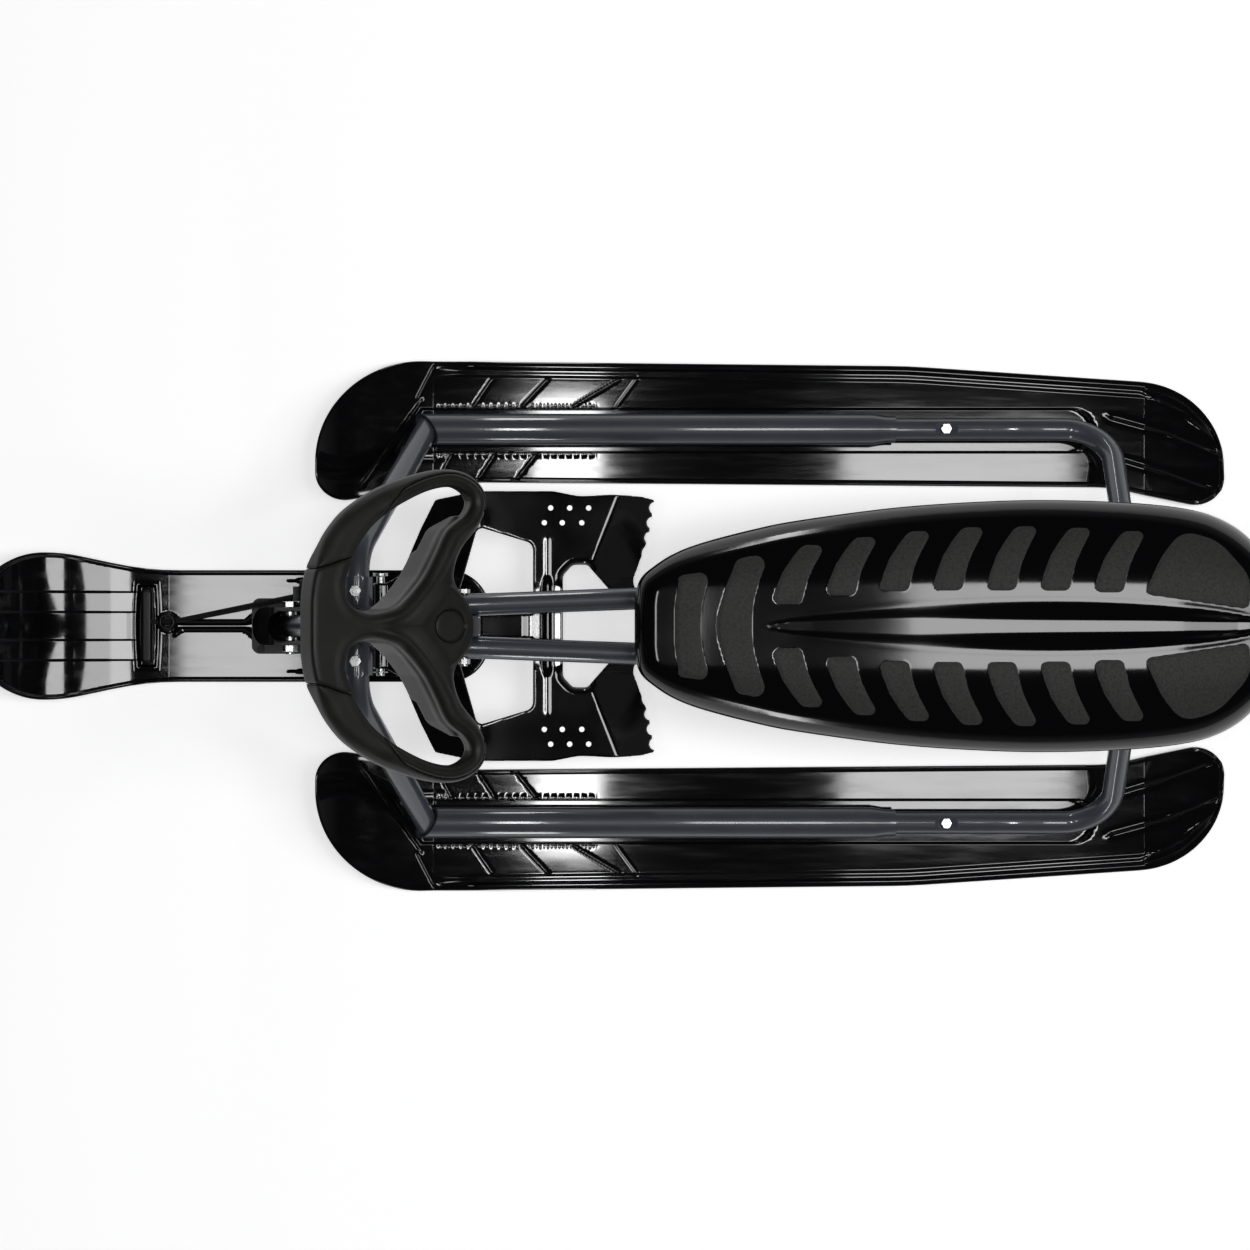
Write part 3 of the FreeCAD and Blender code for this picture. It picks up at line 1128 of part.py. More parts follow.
# Rope reel on the bracket's right side; its axle lies across the sled
def reel_disc(near, far, radius):
    # A disc about the reel's axle, between two distances out from the bracket's side
    return rod(V(REEL_X, -BRACKET_HALF - near, REEL_Z), V(REEL_X, -BRACKET_HALF - far, REEL_Z), radius)


def reel_bosses(near, far, radius):
    bosses = []
    for turn in REEL_SCREW_ANGLES:
        a = math.radians(turn)
        place = V(REEL_X + REEL_SCREW_R * math.cos(a), -BRACKET_HALF, REEL_Z + REEL_SCREW_R * math.sin(a))
        bosses.append(rod(place - V(0, near, 0), place - V(0, far, 0), radius))
    return bosses


def reel_housing():
    wide = REEL_WIDTH - REEL_WALL
    _, b, c = rope_points()
    snout = box(V(c.x - SNOUT_BACK, c.y - SNOUT_HALF, c.z - SNOUT_HALF),
                V(REEL_X + REEL_R + SNOUT_FRONT, c.y + SNOUT_HALF, c.z + SNOUT_HALF))
    case = fused([reel_disc(0, wide, REEL_R), snout] + reel_bosses(0, wide, REEL_BOSS_R))
    case = case.cut([reel_disc(REEL_WALL, wide, REEL_R - REEL_WALL), reel_disc(0, REEL_WALL, AXLE_R)])
    case = case.cut(rod(b, c + unit(c - b) * ROPE_R, ROPE_R + SNOUT_BORE_GAP))
    return case.cut(reel_bosses(wide - REEL_THREAD, wide, REEL_THREAD_R + PART_GAP / 2))


def reel_cover():
    wide = REEL_WIDTH - REEL_WALL
    cover = fused([reel_disc(wide, REEL_WIDTH, REEL_R)] + reel_bosses(wide, REEL_WIDTH, REEL_BOSS_R))
    holes = reel_bosses(0, REEL_WIDTH, REEL_THREAD_R + PART_GAP / 2)
    return cover.cut([reel_disc(0, REEL_WIDTH, AXLE_R)] + holes)


def reel_axle():
    return reel_disc(0, REEL_WIDTH, AXLE_R)


def reel_spool():
    near, far = REEL_WALL + SPOOL_GAP, REEL_WIDTH - REEL_WALL - SPOOL_GAP
    spool = fused([reel_disc(near, far, SPOOL_CORE_R), reel_disc(near, near + SPOOL_FLANGE, SPOOL_R),
                   reel_disc(far - SPOOL_FLANGE, far, SPOOL_R)])
    spring_room = reel_disc(far - SPRING_ROOM, far, SPOOL_CORE_R - SPRING_ROOM_WALL)
    return spool.cut([reel_disc(0, REEL_WIDTH, AXLE_R + RUNNING_GAP), spring_room])


def wound_rope():
    near, far = REEL_WALL + SPOOL_GAP + SPOOL_FLANGE, REEL_WIDTH - REEL_WALL - SPOOL_GAP - SPOOL_FLANGE
    return reel_disc(near, far, WOUND_R).cut(reel_disc(near, far, SPOOL_CORE_R))


def reel_spring():
    far = REEL_WIDTH - REEL_WALL - SPOOL_GAP
    near = far - SPIRAL_WIDTH
    return reel_disc(near, far, SPOOL_CORE_R - SPRING_ROOM_WALL - PART_GAP).cut(reel_disc(near, far, AXLE_R))


def reel_screws():
    shanks = reel_bosses(REEL_WIDTH - REEL_WALL - REEL_THREAD, REEL_WIDTH, REEL_THREAD_R)
    heads = reel_bosses(REEL_WIDTH, REEL_WIDTH + REEL_HEAD, REEL_HEAD_R)
    return Part.makeCompound([s.fuse(h).removeSplitter() for s, h in zip(shanks, heads)])


# Write every piece
save_pair("ski", rear_ski())
save_pair("ski_tube", ski_tube())
save_pair("front_arch", front_arch())
save_pair("spine_tube", spine_tube())
save_pair("rear_leg", rear_leg())
save("steering_head", steering_head())
save("head_bush_lower", head_bush(HEAD_LOW, -1))
save("head_bush_upper", head_bush(HEAD_HIGH, 1))
save("ski_bolts", Part.makeCompound([ski_bolt(), mirrored(ski_bolt()), ski_screw(), mirrored(ski_screw())]))
save("arch_bolts", Part.makeCompound([arch_bolt(), mirrored(arch_bolt())]))
save("frame_nuts", frame_nuts())
save("spine_bolts", Part.makeCompound([cross_bolt(x) for x in CROSS_BOLT_XS]))
save("seat_shell", seat_shell())
save("seat_base", seat_base())
save("seat_bracket_front", seat_bracket(SEAT_BRACKET_XS[0]))
save("seat_bracket_rear", seat_bracket(SEAT_BRACKET_XS[1]))
save("seat_screws", seat_screws())
save("brake_hinge_pin", brake_pin())
save("brake_pin_clip", pin_clip())
save("brake_return_spring", return_spring())
save("brake_plate", brake_plate())
save("steering_shaft", steering_shaft())
save("shaft_collars", collars())
save("wheel_core", wheel_core())
save_pair("wheel_grip", wheel_grip())
save("hub_cap", hub_cap())
save("wheel_bolt", on_axis(wheel_bolt()))
save("front_ski", front_ski())
save("rope_eyelet", rope_eyelet())
save("tow_handle", tow_handle())
save("tow_rope", tow_rope())
save("ski_bracket", ski_bracket())
save("bracket_screws", bracket_screws())
save("pivot_bolt", pivot_bolt())
save("pivot_nut", pivot_nut())
save("pivot_spacers", pivot_spacers())
save("reel_housing", reel_housing())
save("reel_cover", reel_cover())
save("reel_axle", reel_axle())
save("reel_spool", reel_spool())
save("wound_rope", wound_rope())
save("reel_spring", reel_spring())
save("reel_screws", reel_screws())
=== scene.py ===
import bpy
import bmesh
import json
import math
import numpy as np
from contextlib import contextmanager
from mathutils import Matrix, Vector


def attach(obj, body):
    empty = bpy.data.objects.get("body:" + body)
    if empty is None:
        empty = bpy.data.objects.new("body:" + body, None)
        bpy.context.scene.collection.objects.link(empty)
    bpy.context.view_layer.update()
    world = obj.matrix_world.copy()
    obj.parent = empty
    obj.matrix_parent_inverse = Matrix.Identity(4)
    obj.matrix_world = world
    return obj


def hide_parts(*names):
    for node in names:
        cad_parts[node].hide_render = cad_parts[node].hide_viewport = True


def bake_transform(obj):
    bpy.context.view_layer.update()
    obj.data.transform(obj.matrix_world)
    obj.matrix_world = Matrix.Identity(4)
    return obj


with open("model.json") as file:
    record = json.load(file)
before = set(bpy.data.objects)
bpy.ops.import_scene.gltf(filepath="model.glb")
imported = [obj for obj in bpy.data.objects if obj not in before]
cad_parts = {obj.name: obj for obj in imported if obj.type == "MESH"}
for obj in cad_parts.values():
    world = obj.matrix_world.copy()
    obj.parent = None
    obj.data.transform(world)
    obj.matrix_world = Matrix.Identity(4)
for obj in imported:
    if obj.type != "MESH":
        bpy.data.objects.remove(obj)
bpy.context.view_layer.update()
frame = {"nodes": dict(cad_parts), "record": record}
print("frame loaded:", len(frame["nodes"]), "nodes")

mm = 0.001


def linear(hexText):
    # sRGB hex to the linear colour that shaders take
    channels = [int(hexText[i:i + 2], 16) / 255 for i in (1, 3, 5)]
    return [c / 12.92 if c <= 0.04045 else ((c + 0.055) / 1.055) ** 2.4 for c in channels] + [1.0]


def addNode(tree, kind, settings=None, values=None, links=None):
    node = tree.nodes.new(kind)
    for name, value in (settings or {}).items():
        setattr(node, name, value)
    for name, value in (values or {}).items():
        node.inputs[name].default_value = value
    for name, source in (links or {}).items():
        tree.links.new(source, node.inputs[name])
    return node


def newMaterial(name):
    material = bpy.data.materials.new(name)
    material.use_nodes = True
    tree = material.node_tree
    tree.nodes.clear()
    shader = addNode(tree, "ShaderNodeBsdfPrincipled")
    addNode(tree, "ShaderNodeOutputMaterial", links={"Surface": shader.outputs["BSDF"]})
    return material, tree, shader


def setStops(ramp, places, tones):
    # The two ends of a colour ramp
    for stop, place, tone in zip(ramp.color_ramp.elements, places, tones):
        stop.position = place
        stop.color = linear(tone)


def perMetre(sizeInMm):
    # Texture scale that gives a pattern of this size, on coordinates in metres
    return 1000.0 / sizeInMm


# Materials: a cloud shifts tone and roughness, and a finer relief breaks up the reflections

def finish(name, look):
    material, tree, shader = newMaterial(name)
    place = addNode(tree, "ShaderNodeTexCoord").outputs["Object"]
    laid = addNode(tree, "ShaderNodeMapping", values={"Scale": look.get("stretch", (1, 1, 1))},
                   links={"Vector": place})
    cloudMm, cloudDetail = look["cloud"]
    cloud = addNode(tree, "ShaderNodeTexNoise", links={"Vector": laid.outputs["Vector"]}, values={
        "Scale": perMetre(cloudMm), "Detail": cloudDetail, "Roughness": look.get("cloudRough", 0.5)})
    cloud = cloud.outputs["Fac"]
    tone = addNode(tree, "ShaderNodeValToRGB", links={"Fac": cloud})
    setStops(tone, look["tonesAt"], look["tones"])
    (fromMin, fromMax), (toMin, toMax) = look.get("roughFrom", (0.0, 1.0)), look["rough"]
    rough = addNode(tree, "ShaderNodeMapRange", links={"Value": cloud}, values={
        "From Min": fromMin, "From Max": fromMax, "To Min": toMin, "To Max": toMax})
    kind, output, reliefMm, detail = look["relief"]
    relief = addNode(tree, kind, values={"Scale": perMetre(reliefMm), "Detail": detail},
                     links={"Vector": place})
    strength, deepMm = look["bump"]
    bump = addNode(tree, "ShaderNodeBump", values={"Strength": strength, "Distance": deepMm * mm},
                   links={"Height": relief.outputs[output]})
    tree.links.new(tone.outputs["Color"], shader.inputs["Base Color"])
    tree.links.new(rough.outputs["Result"], shader.inputs["Roughness"])
    tree.links.new(bump.outputs["Normal"], shader.inputs["Normal"])
    for socket, value in look.get("shader", {}).items():
        shader.inputs[socket].default_value = value
    return material


def metal(tones, rough, bloomMm):
    # Plated or drawn steel: bright metal with a soft crystalline bloom
    return {"tones": tones, "tonesAt": (0.3, 0.7), "rough": rough, "cloud": (bloomMm, 5.0),
            "relief": ("ShaderNodeTexNoise", "Fac", bloomMm, 5.0), "bump": (0.06, 0.2),
            "shader": {"Metallic": 1.0}}


def grained(tones, rough, grainMm, cloudMm, strength, sheen=0.5):
    # Spark-eroded mould grain: tiny pits that break up the gloss, drawn coarser than real so that they show
    return {"tones": tones, "tonesAt": (0.35, 0.85), "rough": rough, "cloud": (cloudMm, 4.0),
            "relief": ("ShaderNodeTexVoronoi", "Distance", grainMm, 0.0), "bump": (strength, 0.3),
            "shader": {"IOR": 1.5, "Specular IOR Level": sheen}}


# Injection moulded HDPE: deep black, mirror-like, with faint flow waves and rub marks
polyethylene = {
    "tones": ("#09090b", "#131316"), "tonesAt": (0.5, 0.95), "rough": (0.05, 0.1), "roughFrom": (0.45, 0.8),
    "cloud": (9, 6.0), "cloudRough": 0.65, "stretch": (0.12, 1.0, 1.0),
    "relief": ("ShaderNodeTexNoise", "Fac", 60, 2.0), "bump": (0.06, 0.6), "shader": {"IOR": 1.54},
}
# Powder-coated steel tube: blue-grey anthracite with a slight orange peel and scuffed high spots
powderCoat = {
    "tones": ("#3b3f48", "#434750"), "tonesAt": (0.4, 0.85), "rough": (0.42, 0.52), "cloud": (45, 4.0),
    "relief": ("ShaderNodeTexNoise", "Fac", 2.2, 1.0), "bump": (0.1, 0.2),
    "shader": {"Coat Weight": 0.8, "Coat Roughness": 0.07},
}
# Stove enamel on pressed sheet: black and wet-looking, with fine orange peel
stoveEnamel = {
    "tones": ("#070708", "#101012"), "tonesAt": (0.45, 0.9), "rough": (0.04, 0.09), "cloud": (30, 3.0),
    "relief": ("ShaderNodeTexNoise", "Fac", 2.6, 1.0), "bump": (0.03, 0.2),
}
finishes = {
    # Zinc under a black passivate: dark heads with a dull shine
    "black_zinc": finish("black zinc plate", metal(("#17181a", "#232426"), (0.3, 0.42), 3)),
    "ski_plastic": finish("moulded gloss polyethylene", polyethylene),
    "tube_paint": finish("anthracite powder coat", powderCoat),
    "brake_paint": finish("black stove enamel", stoveEnamel),
    # Bright zinc: pale and silvery, a little cloudy
    "zinc_steel": finish("bright zinc plate", metal(("#9da09f", "#c9ccca"), (0.2, 0.36), 3)),
    # Drawn bar: plain grey steel
    "shaft_steel": finish("drawn steel bar", metal(("#6a6e70", "#8f9496"), (0.26, 0.42), 5)),
    # Oil-hardened wire: dark steel
    "spring_steel": finish("oiled spring wire", metal(("#38393c", "#55565a"), (0.3, 0.45), 4)),
    # Moulded polypropylene: charcoal, half matt
    "wheel_plastic": finish("grained polypropylene", grained(("#1e1e1c", "#272725"), (0.34, 0.44),
                                                             1.1, 22, 0.12, 0.22)),
    # Overmoulded elastomer: as dark as the core, more matt
    "grip_rubber": finish("soft grip elastomer", grained(("#20201e", "#2a2a28"), (0.4, 0.5),
                                                         1.2, 18, 0.1, 0.22)),
    "seat_plastic": finish("moulded gloss polyethylene", polyethylene),
    # Moulded nylon: near black with a satin shine
    "black_nylon": finish("moulded nylon", grained(("#0d0d0e", "#151516"), (0.3, 0.42), 1.0, 25, 0.06, 0.3)),
    # Braided polyester: black and dry-looking
    "rope_fibre": finish("braided polyester", grained(("#0e0e0f", "#1a1a1b"), (0.7, 0.85), 0.8, 12, 0.3)),
}
print("materials made:", len(finishes))
slotOf = {row["node"]: row["material_slot"] for row in frame["record"]["subparts"]}
bodyOf = {node: body for body, nodes in frame["record"]["behaviour"]["bodies"].items() for node in nodes}


def newObject(name, mesh):
    piece = bpy.data.objects.new(name, mesh)
    bpy.context.scene.collection.objects.link(piece)
    return piece


@contextmanager
def editing(mesh):
    work = bmesh.new()
    work.from_mesh(mesh)
    yield work
    work.to_mesh(mesh)
    work.free()


def plainMesh(piece):
    # The object's mesh with its modifiers applied
    view = bpy.context.evaluated_depsgraph_get()
    return bpy.data.meshes.new_from_object(piece.evaluated_get(view))


made = set()


def settle(piece, node):
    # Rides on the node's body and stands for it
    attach(piece, bodyOf[node])
    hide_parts(node)
    made.add(node)
    return piece


def dress(mesh, material, name, node):
    mesh.materials.append(material)
    return settle(newObject(name, mesh), node)


def newTree(name, given, sizes, result):
    # A geometry tree with one input, named sizes and one output
    tree = bpy.data.node_groups.new(name, "GeometryNodeTree")
    face = tree.interface
    face.new_socket(given, in_out="INPUT", socket_type="NodeSocketGeometry")
    sockets = {size: face.new_socket(size, in_out="INPUT", socket_type="NodeSocket" + kind).identifier
               for size, kind in sizes.items()}
    face.new_socket(result, in_out="OUTPUT", socket_type="NodeSocketGeometry")
    return tree, sockets, addNode(tree, "NodeGroupInput").outputs


def closeTree(tree, shape, material, result):
    real = addNode(tree, "GeometryNodeRealizeInstances", links={"Geometry": shape})
    painted = addNode(tree, "GeometryNodeSetMaterial", values={"Material": material},
                      links={"Geometry": real.outputs["Geometry"]})
    addNode(tree, "NodeGroupOutput", links={result: painted.outputs["Geometry"]})


def grownMesh(carrier, tree, sockets, sizes):
    # The plain mesh that the tree makes on a carrier, which then goes
    growth = carrier.modifiers.new(tree.name, "NODES")
    growth.node_group = tree
    for name, value in sizes.items():
        growth[sockets[name]] = value
    mesh = plainMesh(carrier)
    bpy.data.objects.remove(carrier)
    return mesh


# Tow rope and its eyelet: the route is in metres, from the reel's snout to the handle
rope = {
    "route": [(0.290, -0.031, 0.046), (0.3954, -0.0098, 0.0204), (0.424, -0.004, 0.0135),
              (0.4445, -0.004, 0.0135)],
    "diameter": 0.005, "strandDepth": 0.16, "strands": 8, "turnLength": 0.017, "steps": 420,
}


def braidTree():
    # Two opposite twists of a lobed section along one curve
    sizes = {"Radius": "Float", "Strand depth": "Float", "Strands": "Int", "Turn length": "Float",
             "Steps": "Int"}
    tree, sockets, given = newTree("rope braid", "Curve", sizes, "Rope")
    times, fullTurn, sides = {"operation": "MULTIPLY"}, 2 * math.pi, 48
    circle = addNode(tree, "GeometryNodeCurvePrimitiveCircle", values={"Resolution": sides},
                     links={"Radius": given["Radius"]})
    index = addNode(tree, "GeometryNodeInputIndex").outputs["Index"]
    angle = addNode(tree, "ShaderNodeMath", times, {1: fullTurn / sides}, {0: index})
    lobes = addNode(tree, "ShaderNodeMath", times, links={0: angle.outputs["Value"], 1: given["Strands"]})
    lobe = addNode(tree, "ShaderNodeMath", {"operation": "COSINE"}, links={0: lobes.outputs["Value"]})
    swell = addNode(tree, "ShaderNodeMath", {"operation": "MULTIPLY_ADD"}, {2: 1.0},
                    {0: lobe.outputs["Value"], 1: given["Strand depth"]})
    place = addNode(tree, "GeometryNodeInputPosition").outputs["Position"]
    moved = addNode(tree, "ShaderNodeVectorMath", {"operation": "SCALE"},
                    links={"Vector": place, "Scale": swell.outputs["Value"]})
    section = addNode(tree, "GeometryNodeSetPosition", links={"Geometry": circle.outputs["Curve"],
                                                              "Position": moved.outputs["Vector"]})
    path = addNode(tree, "GeometryNodeResampleCurve", links={"Curve": given["Curve"],
                                                             "Count": given["Steps"]})
    length = addNode(tree, "GeometryNodeSplineParameter").outputs["Length"]
    turns = addNode(tree, "ShaderNodeMath", {"operation": "DIVIDE"},
                    links={0: length, 1: given["Turn length"]})
    join = addNode(tree, "GeometryNodeJoinGeometry")
    for turn in (fullTurn, -fullTurn):
        tilt = addNode(tree, "ShaderNodeMath", times, {1: turn}, {0: turns.outputs["Value"]})
        twisted = addNode(tree, "GeometryNodeSetCurveTilt", links={"Curve": path.outputs["Curve"],
                                                                   "Tilt": tilt.outputs["Value"]})
        tube = addNode(tree, "GeometryNodeCurveToMesh", values={"Fill Caps": True},
                       links={"Curve": twisted.outputs["Curve"],
                              "Profile Curve": section.outputs["Geometry"]})
        tree.links.new(tube.outputs["Mesh"], join.inputs["Geometry"])
    closeTree(tree, join.outputs["Geometry"], finishes["rope_fibre"], "Rope")
    return tree, sockets


def makeRope():
    line = bpy.data.curves.new("tow_rope_line", "CURVE")
    line.dimensions = "3D"
    line.resolution_u = 24
    spline = line.splines.new("NURBS")
    spline.points.add(len(rope["route"]) - 1)
    for point, place in zip(spline.points, rope["route"]):
        point.co = place + (1.0,)
    spline.order_u = 3
    spline.use_endpoint_u = True
    carrier = newObject("tow_rope_carrier", line)
    points = [tuple(v.co) for v in plainMesh(carrier).vertices]
    tree, sockets = braidTree()
    mesh = grownMesh(carrier, tree, sockets, {
        "Radius": rope["diameter"] / 2 / (1 + rope["strandDepth"]), "Strand depth": rope["strandDepth"],
        "Strands": rope["strands"], "Turn length": rope["turnLength"], "Steps": rope["steps"]})
    mesh.shade_smooth()
    piece = settle(newObject("braided_tow_rope", mesh), "tow_rope")


# Shapes worked out on a grid

def smooth(amount, width):
    # 0 below minus width, 1 above width, eased between
    t = np.clip((np.asarray(amount, float) / width + 1) / 2, 0, 1)
    return t * t * (3 - 2 * t)


def ridge(away, high, wide):
    # A soft ridge of this height and half width, or a groove when taken away
    return high * np.exp(-(away / wide) ** 2)


def edgeDrop(inside, radius, share=0.9):
    # How far a rounded edge falls, by the distance inside the outline
    edge = np.clip(1 - inside / radius, 0, 1)
    return radius * (1 - np.sqrt(1 - edge ** 2)) * share


def withCrisp(lines, crisp, gap):
    # Evenly spaced lines, with close ones where the shape turns sharply
    clear = np.min(np.abs(lines[:, None] - np.array(crisp)), axis=1) > gap
    return np.unique(np.concatenate([lines[clear], crisp]))


def roundedLoop(corners, stepDeg=3.0):
    # Closed outline through corners of (x, y, radius), each corner an arc
    loop = []
    for i, (x, y, radius) in enumerate(corners):
        corner = Vector((x, y))
        back = (Vector(corners[i - 1][:2]) - corner).normalized()
        ahead = (Vector(corners[(i + 1) % len(corners)][:2]) - corner).normalized()
        half = back.angle(ahead) / 2
        middle = corner + (back + ahead).normalized() * (radius / math.sin(half))
        first = corner + back * (radius / math.tan(half)) - middle
        last = corner + ahead * (radius / math.tan(half)) - middle
        turn = math.atan2(first.x * last.y - first.y * last.x, first.dot(last))
        steps = max(2, int(abs(math.degrees(turn)) / stepDeg))
        for k in range(steps + 1):
            angle = turn * k / steps
            loop.append((middle.x + first.x * math.cos(angle) - first.y * math.sin(angle),
                         middle.y + first.x * math.sin(angle) + first.y * math.cos(angle)))
    return np.array(loop)


def edgeDistance(loop, x, y):
    # Distance of each point to the outline
    best = np.full(np.shape(x), 1e9)
    for a, b in zip(loop, np.roll(loop, -1, axis=0)):
        best = np.minimum(best, lineDistance((a, b), x, y))
    return best


def lineDistance(line, x, y):
    (ax, ay), (bx, by) = line
    dx, dy = bx - ax, by - ay
    size = dx * dx + dy * dy
    if size < 1e-9:
        return np.hypot(x - ax, y - ay)
    t = np.clip(((x - ax) * dx + (y - ay) * dy) / size, 0, 1)
    return np.hypot(x - ax - t * dx, y - ay - t * dy)


def span(loop, xs):
    # Lowest and highest y of the outline at each x
    low, high = np.full(len(xs), 1e9), np.full(len(xs), -1e9)
    for (ax, ay), (bx, by) in zip(loop, np.roll(loop, -1, axis=0)):
        if abs(bx - ax) < 1e-9:
            continue
        t = (xs - ax) / (bx - ax)
        inside = (t >= 0) & (t <= 1)
        y = ay + t * (by - ay)
        low = np.where(inside, np.minimum(low, y), low)
        high = np.where(inside, np.maximum(high, y), high)
    return low, high


def lineX(line, y):
    # Where a slanted line stands along the sled, at each y
    (ax, ay), (bx, by) = line
    return ax + (np.asarray(y, float) - ay) * (bx - ax) / (by - ay)


def gridRows(tail, nose, step, fine, fineStep, creases=(), ease=34.0, count=16):
    # Places along the sled: close together at both ends, over the fine stretch and beside a crease
    turn = np.sin(np.linspace(0, math.pi / 2, count))
    ends = np.concatenate([nose - ease * (1 - turn), tail + ease * (1 - turn)])
    body = np.arange(tail + ease, nose - ease, step)
    close = np.arange(fine[0], fine[1], fineStep)
    body = body[(body < fine[0]) | (body > fine[1])]
    beside = [at + k for at in creases for k in (-0.6, -0.25, -0.08, 0.08, 0.25, 0.6)]
    body = np.concatenate([body, close])
    for at in creases:
        body = body[np.abs(body - at) > 0.9]
    return np.unique(np.round(np.concatenate([ends, body, beside]), 4))


def mouldedSheet(name, loop, rows, lines, edges, topOf, soleOf, soleEvery=3):
    # A closed moulding: a fine top and a coarser sole inside one outline, all in mm
    inset = 1e-3
    rows = np.clip(rows, loop[:, 0].min() + inset, loop[:, 0].max() - inset)
    low, high = span(loop, rows)
    reach = np.minimum(1.0, (high - low) / (2.02 * edges[-1]))
    near = low[:, None] + np.outer(reach, edges)
    far = high[:, None] - np.outer(reach, edges[::-1])
    middle = np.clip(np.tile(lines, (len(rows), 1)), near[:, -1:], far[:, :1])
    ys = np.concatenate([near, middle, far], axis=1)
    xs = np.tile(rows[:, None], (1, ys.shape[1]))
    top = np.stack([xs, ys, topOf(xs, ys)], axis=-1)
    keep = sorted(set(list(range(0, ys.shape[1], soleEvery)) + [ys.shape[1] - 1]))
    sole = np.stack([xs[:, keep], ys[:, keep], soleOf(xs[:, keep], ys[:, keep])], axis=-1)
    points = np.concatenate([top.reshape(-1, 3), sole.reshape(-1, 3)]) * mm
    count, wide, narrow = len(rows), ys.shape[1], len(keep)
    base = count * wide
    faces = []
    for i in range(count - 1):
        for j in range(wide - 1):
            a = i * wide + j
            faces.append((a, a + wide, a + wide + 1, a + 1))
        for j in range(narrow - 1):
            a = base + i * narrow + j
            faces.append((a, a + 1, a + narrow + 1, a + narrow))
        for j, k, flip in ((0, 0, False), (wide - 1, narrow - 1, True)):
            a, b = i * wide + j, base + i * narrow + k
            side = (a, b, b + narrow, a + wide)
            faces.append(side[::-1] if flip else side)
    for i, flip in ((0, False), (count - 1, True)):
        cap = [i * wide + j for j in range(wide)] + [base + i * narrow + k for k in reversed(range(narrow))]
        faces.append(cap[::-1] if flip else cap)
    mesh = bpy.data.meshes.new(name)
    mesh.from_pydata([tuple(p) for p in points], [], faces)
    with editing(mesh) as work:
        bmesh.ops.remove_doubles(work, verts=work.verts, dist=2e-5)
        bmesh.ops.recalc_face_normals(work, faces=work.faces)
    mesh.shade_smooth()
    return mesh


def mirroredMesh(mesh, name):
    other = mesh.copy()
    other.name = name
    with editing(other) as work:
        for vert in work.verts:
            vert.co.y = -vert.co.y
        bmesh.ops.reverse_faces(work, faces=work.faces)
    return other


# Rear skis, in mm: the left one. Grooves and ribs are (depth or height, half width)
rearSki = {
    "noseX": 281, "tailX": -593, "lineSpan": (112, 257.5), "deck": 12.0, "floor": 7.0, "edgeRound": 2.4,
    "outline": [(281, 116, 26), (281, 258.5, 100), (-290, 252.5, 600), (-590, 232.5, 84), (-594, 110, 26),
                (-487, 134.5, 140), (150, 139.5, 300)],
    "noseBend": (171, 153, 110, 0.2), "tailBend": (-520, 132, 73, 0.3),  # start, radius, reach, crease slope
    "rim": 4.0, "rimWidth": 6.6, "innerRim": 2.6, "stepWidth": 14.4, "rimEnd": (150, 24), "rimSoft": 0.9,
    "tubeY": 190, "channelHalf": 21, "channelRear": -449, "channelFront": ((182, 211), (206, 169)),
    "soleGrooves": [(158, 186), (206, 236)], "soleSpan": (-490, 150), "grooveDeep": 3.0,
    "foldLines": [((170, 252), (186, 220)), ((182, 219), (239, 134))], "foldGroove": (1.8, 1.0),
    "outerSteps": [((170, 252), (186, 220)), ((105, 252), (127, 220)), ((49, 251), (82, 216)),
                   ((-29, 251), (30, 216))],
    "innerSteps": [((182, 219), (239, 134)), ((152, 168), (160, 153)), ((110, 168), (124, 147)),
                   ((70, 168), (88, 145))],
    "outerRise": (0.05, 0.08, 0.12), "innerRise": (0.05, 0.05, 0.05), "stepGroove": (2.4, 1.2),
    "thinLines": [((-27, 240), (-2, 206)), ((184, 162), (159, 162))], "thinGroove": (0.9, 1.0),
    "notchPitch": 7.4, "notchSpan": (12, 166), "notchLip": (2.6, 1.3), "notchDeep": 0.35,
    "tailRibs": [((-489, 204), (-540, 190), (-589, 168)), ((-494, 165), (-540, 151), (-590, 131))],
    "ribHigh": (2.4, 2.0), "ribGutter": (4.4, 1.4, 1.6),
    "tailArc": ((-520, 226), (-556, 206), (-584, 178)), "arcGroove": (1.5, 1.5),
    "rowStep": 2.8, "fineRows": (-32, 242), "fineStep": 0.9, "lineStep": 1.7,
    "crisp": (0.4, 1.0, 1.6, 2.6, 3.6),
    "edges": (0, 0.25, 0.7, 1.3, 2.0, 3.0, 4.6, 5.7, 6.3, 6.9, 7.6, 9.5, 12, 13.5, 14.4, 15.3, 16.2),
}


def bent(height, x, noseBend, tailBend=None):
    # Height above the ground of a layer that follows the ski's turned-up ends
    z = np.array(height, float)
    for bend, way in ((noseBend, 1), (tailBend, -1)):
        if bend is None:
            continue
        start, bow, reach, crease = bend
        past = np.maximum((x - start) * way, 0)
        radius = bow - np.asarray(height, float)
        rise = bow - np.sqrt(np.maximum(radius ** 2 - past ** 2, 1.0)) + crease * past * (1 - past / reach)
        z = np.where(past > 0, rise, z)
    return z


def chainDistance(points, x, y):
    # Distance to a line through three points
    return np.minimum(lineDistance(points[:2], x, y), lineDistance(points[1:], x, y))


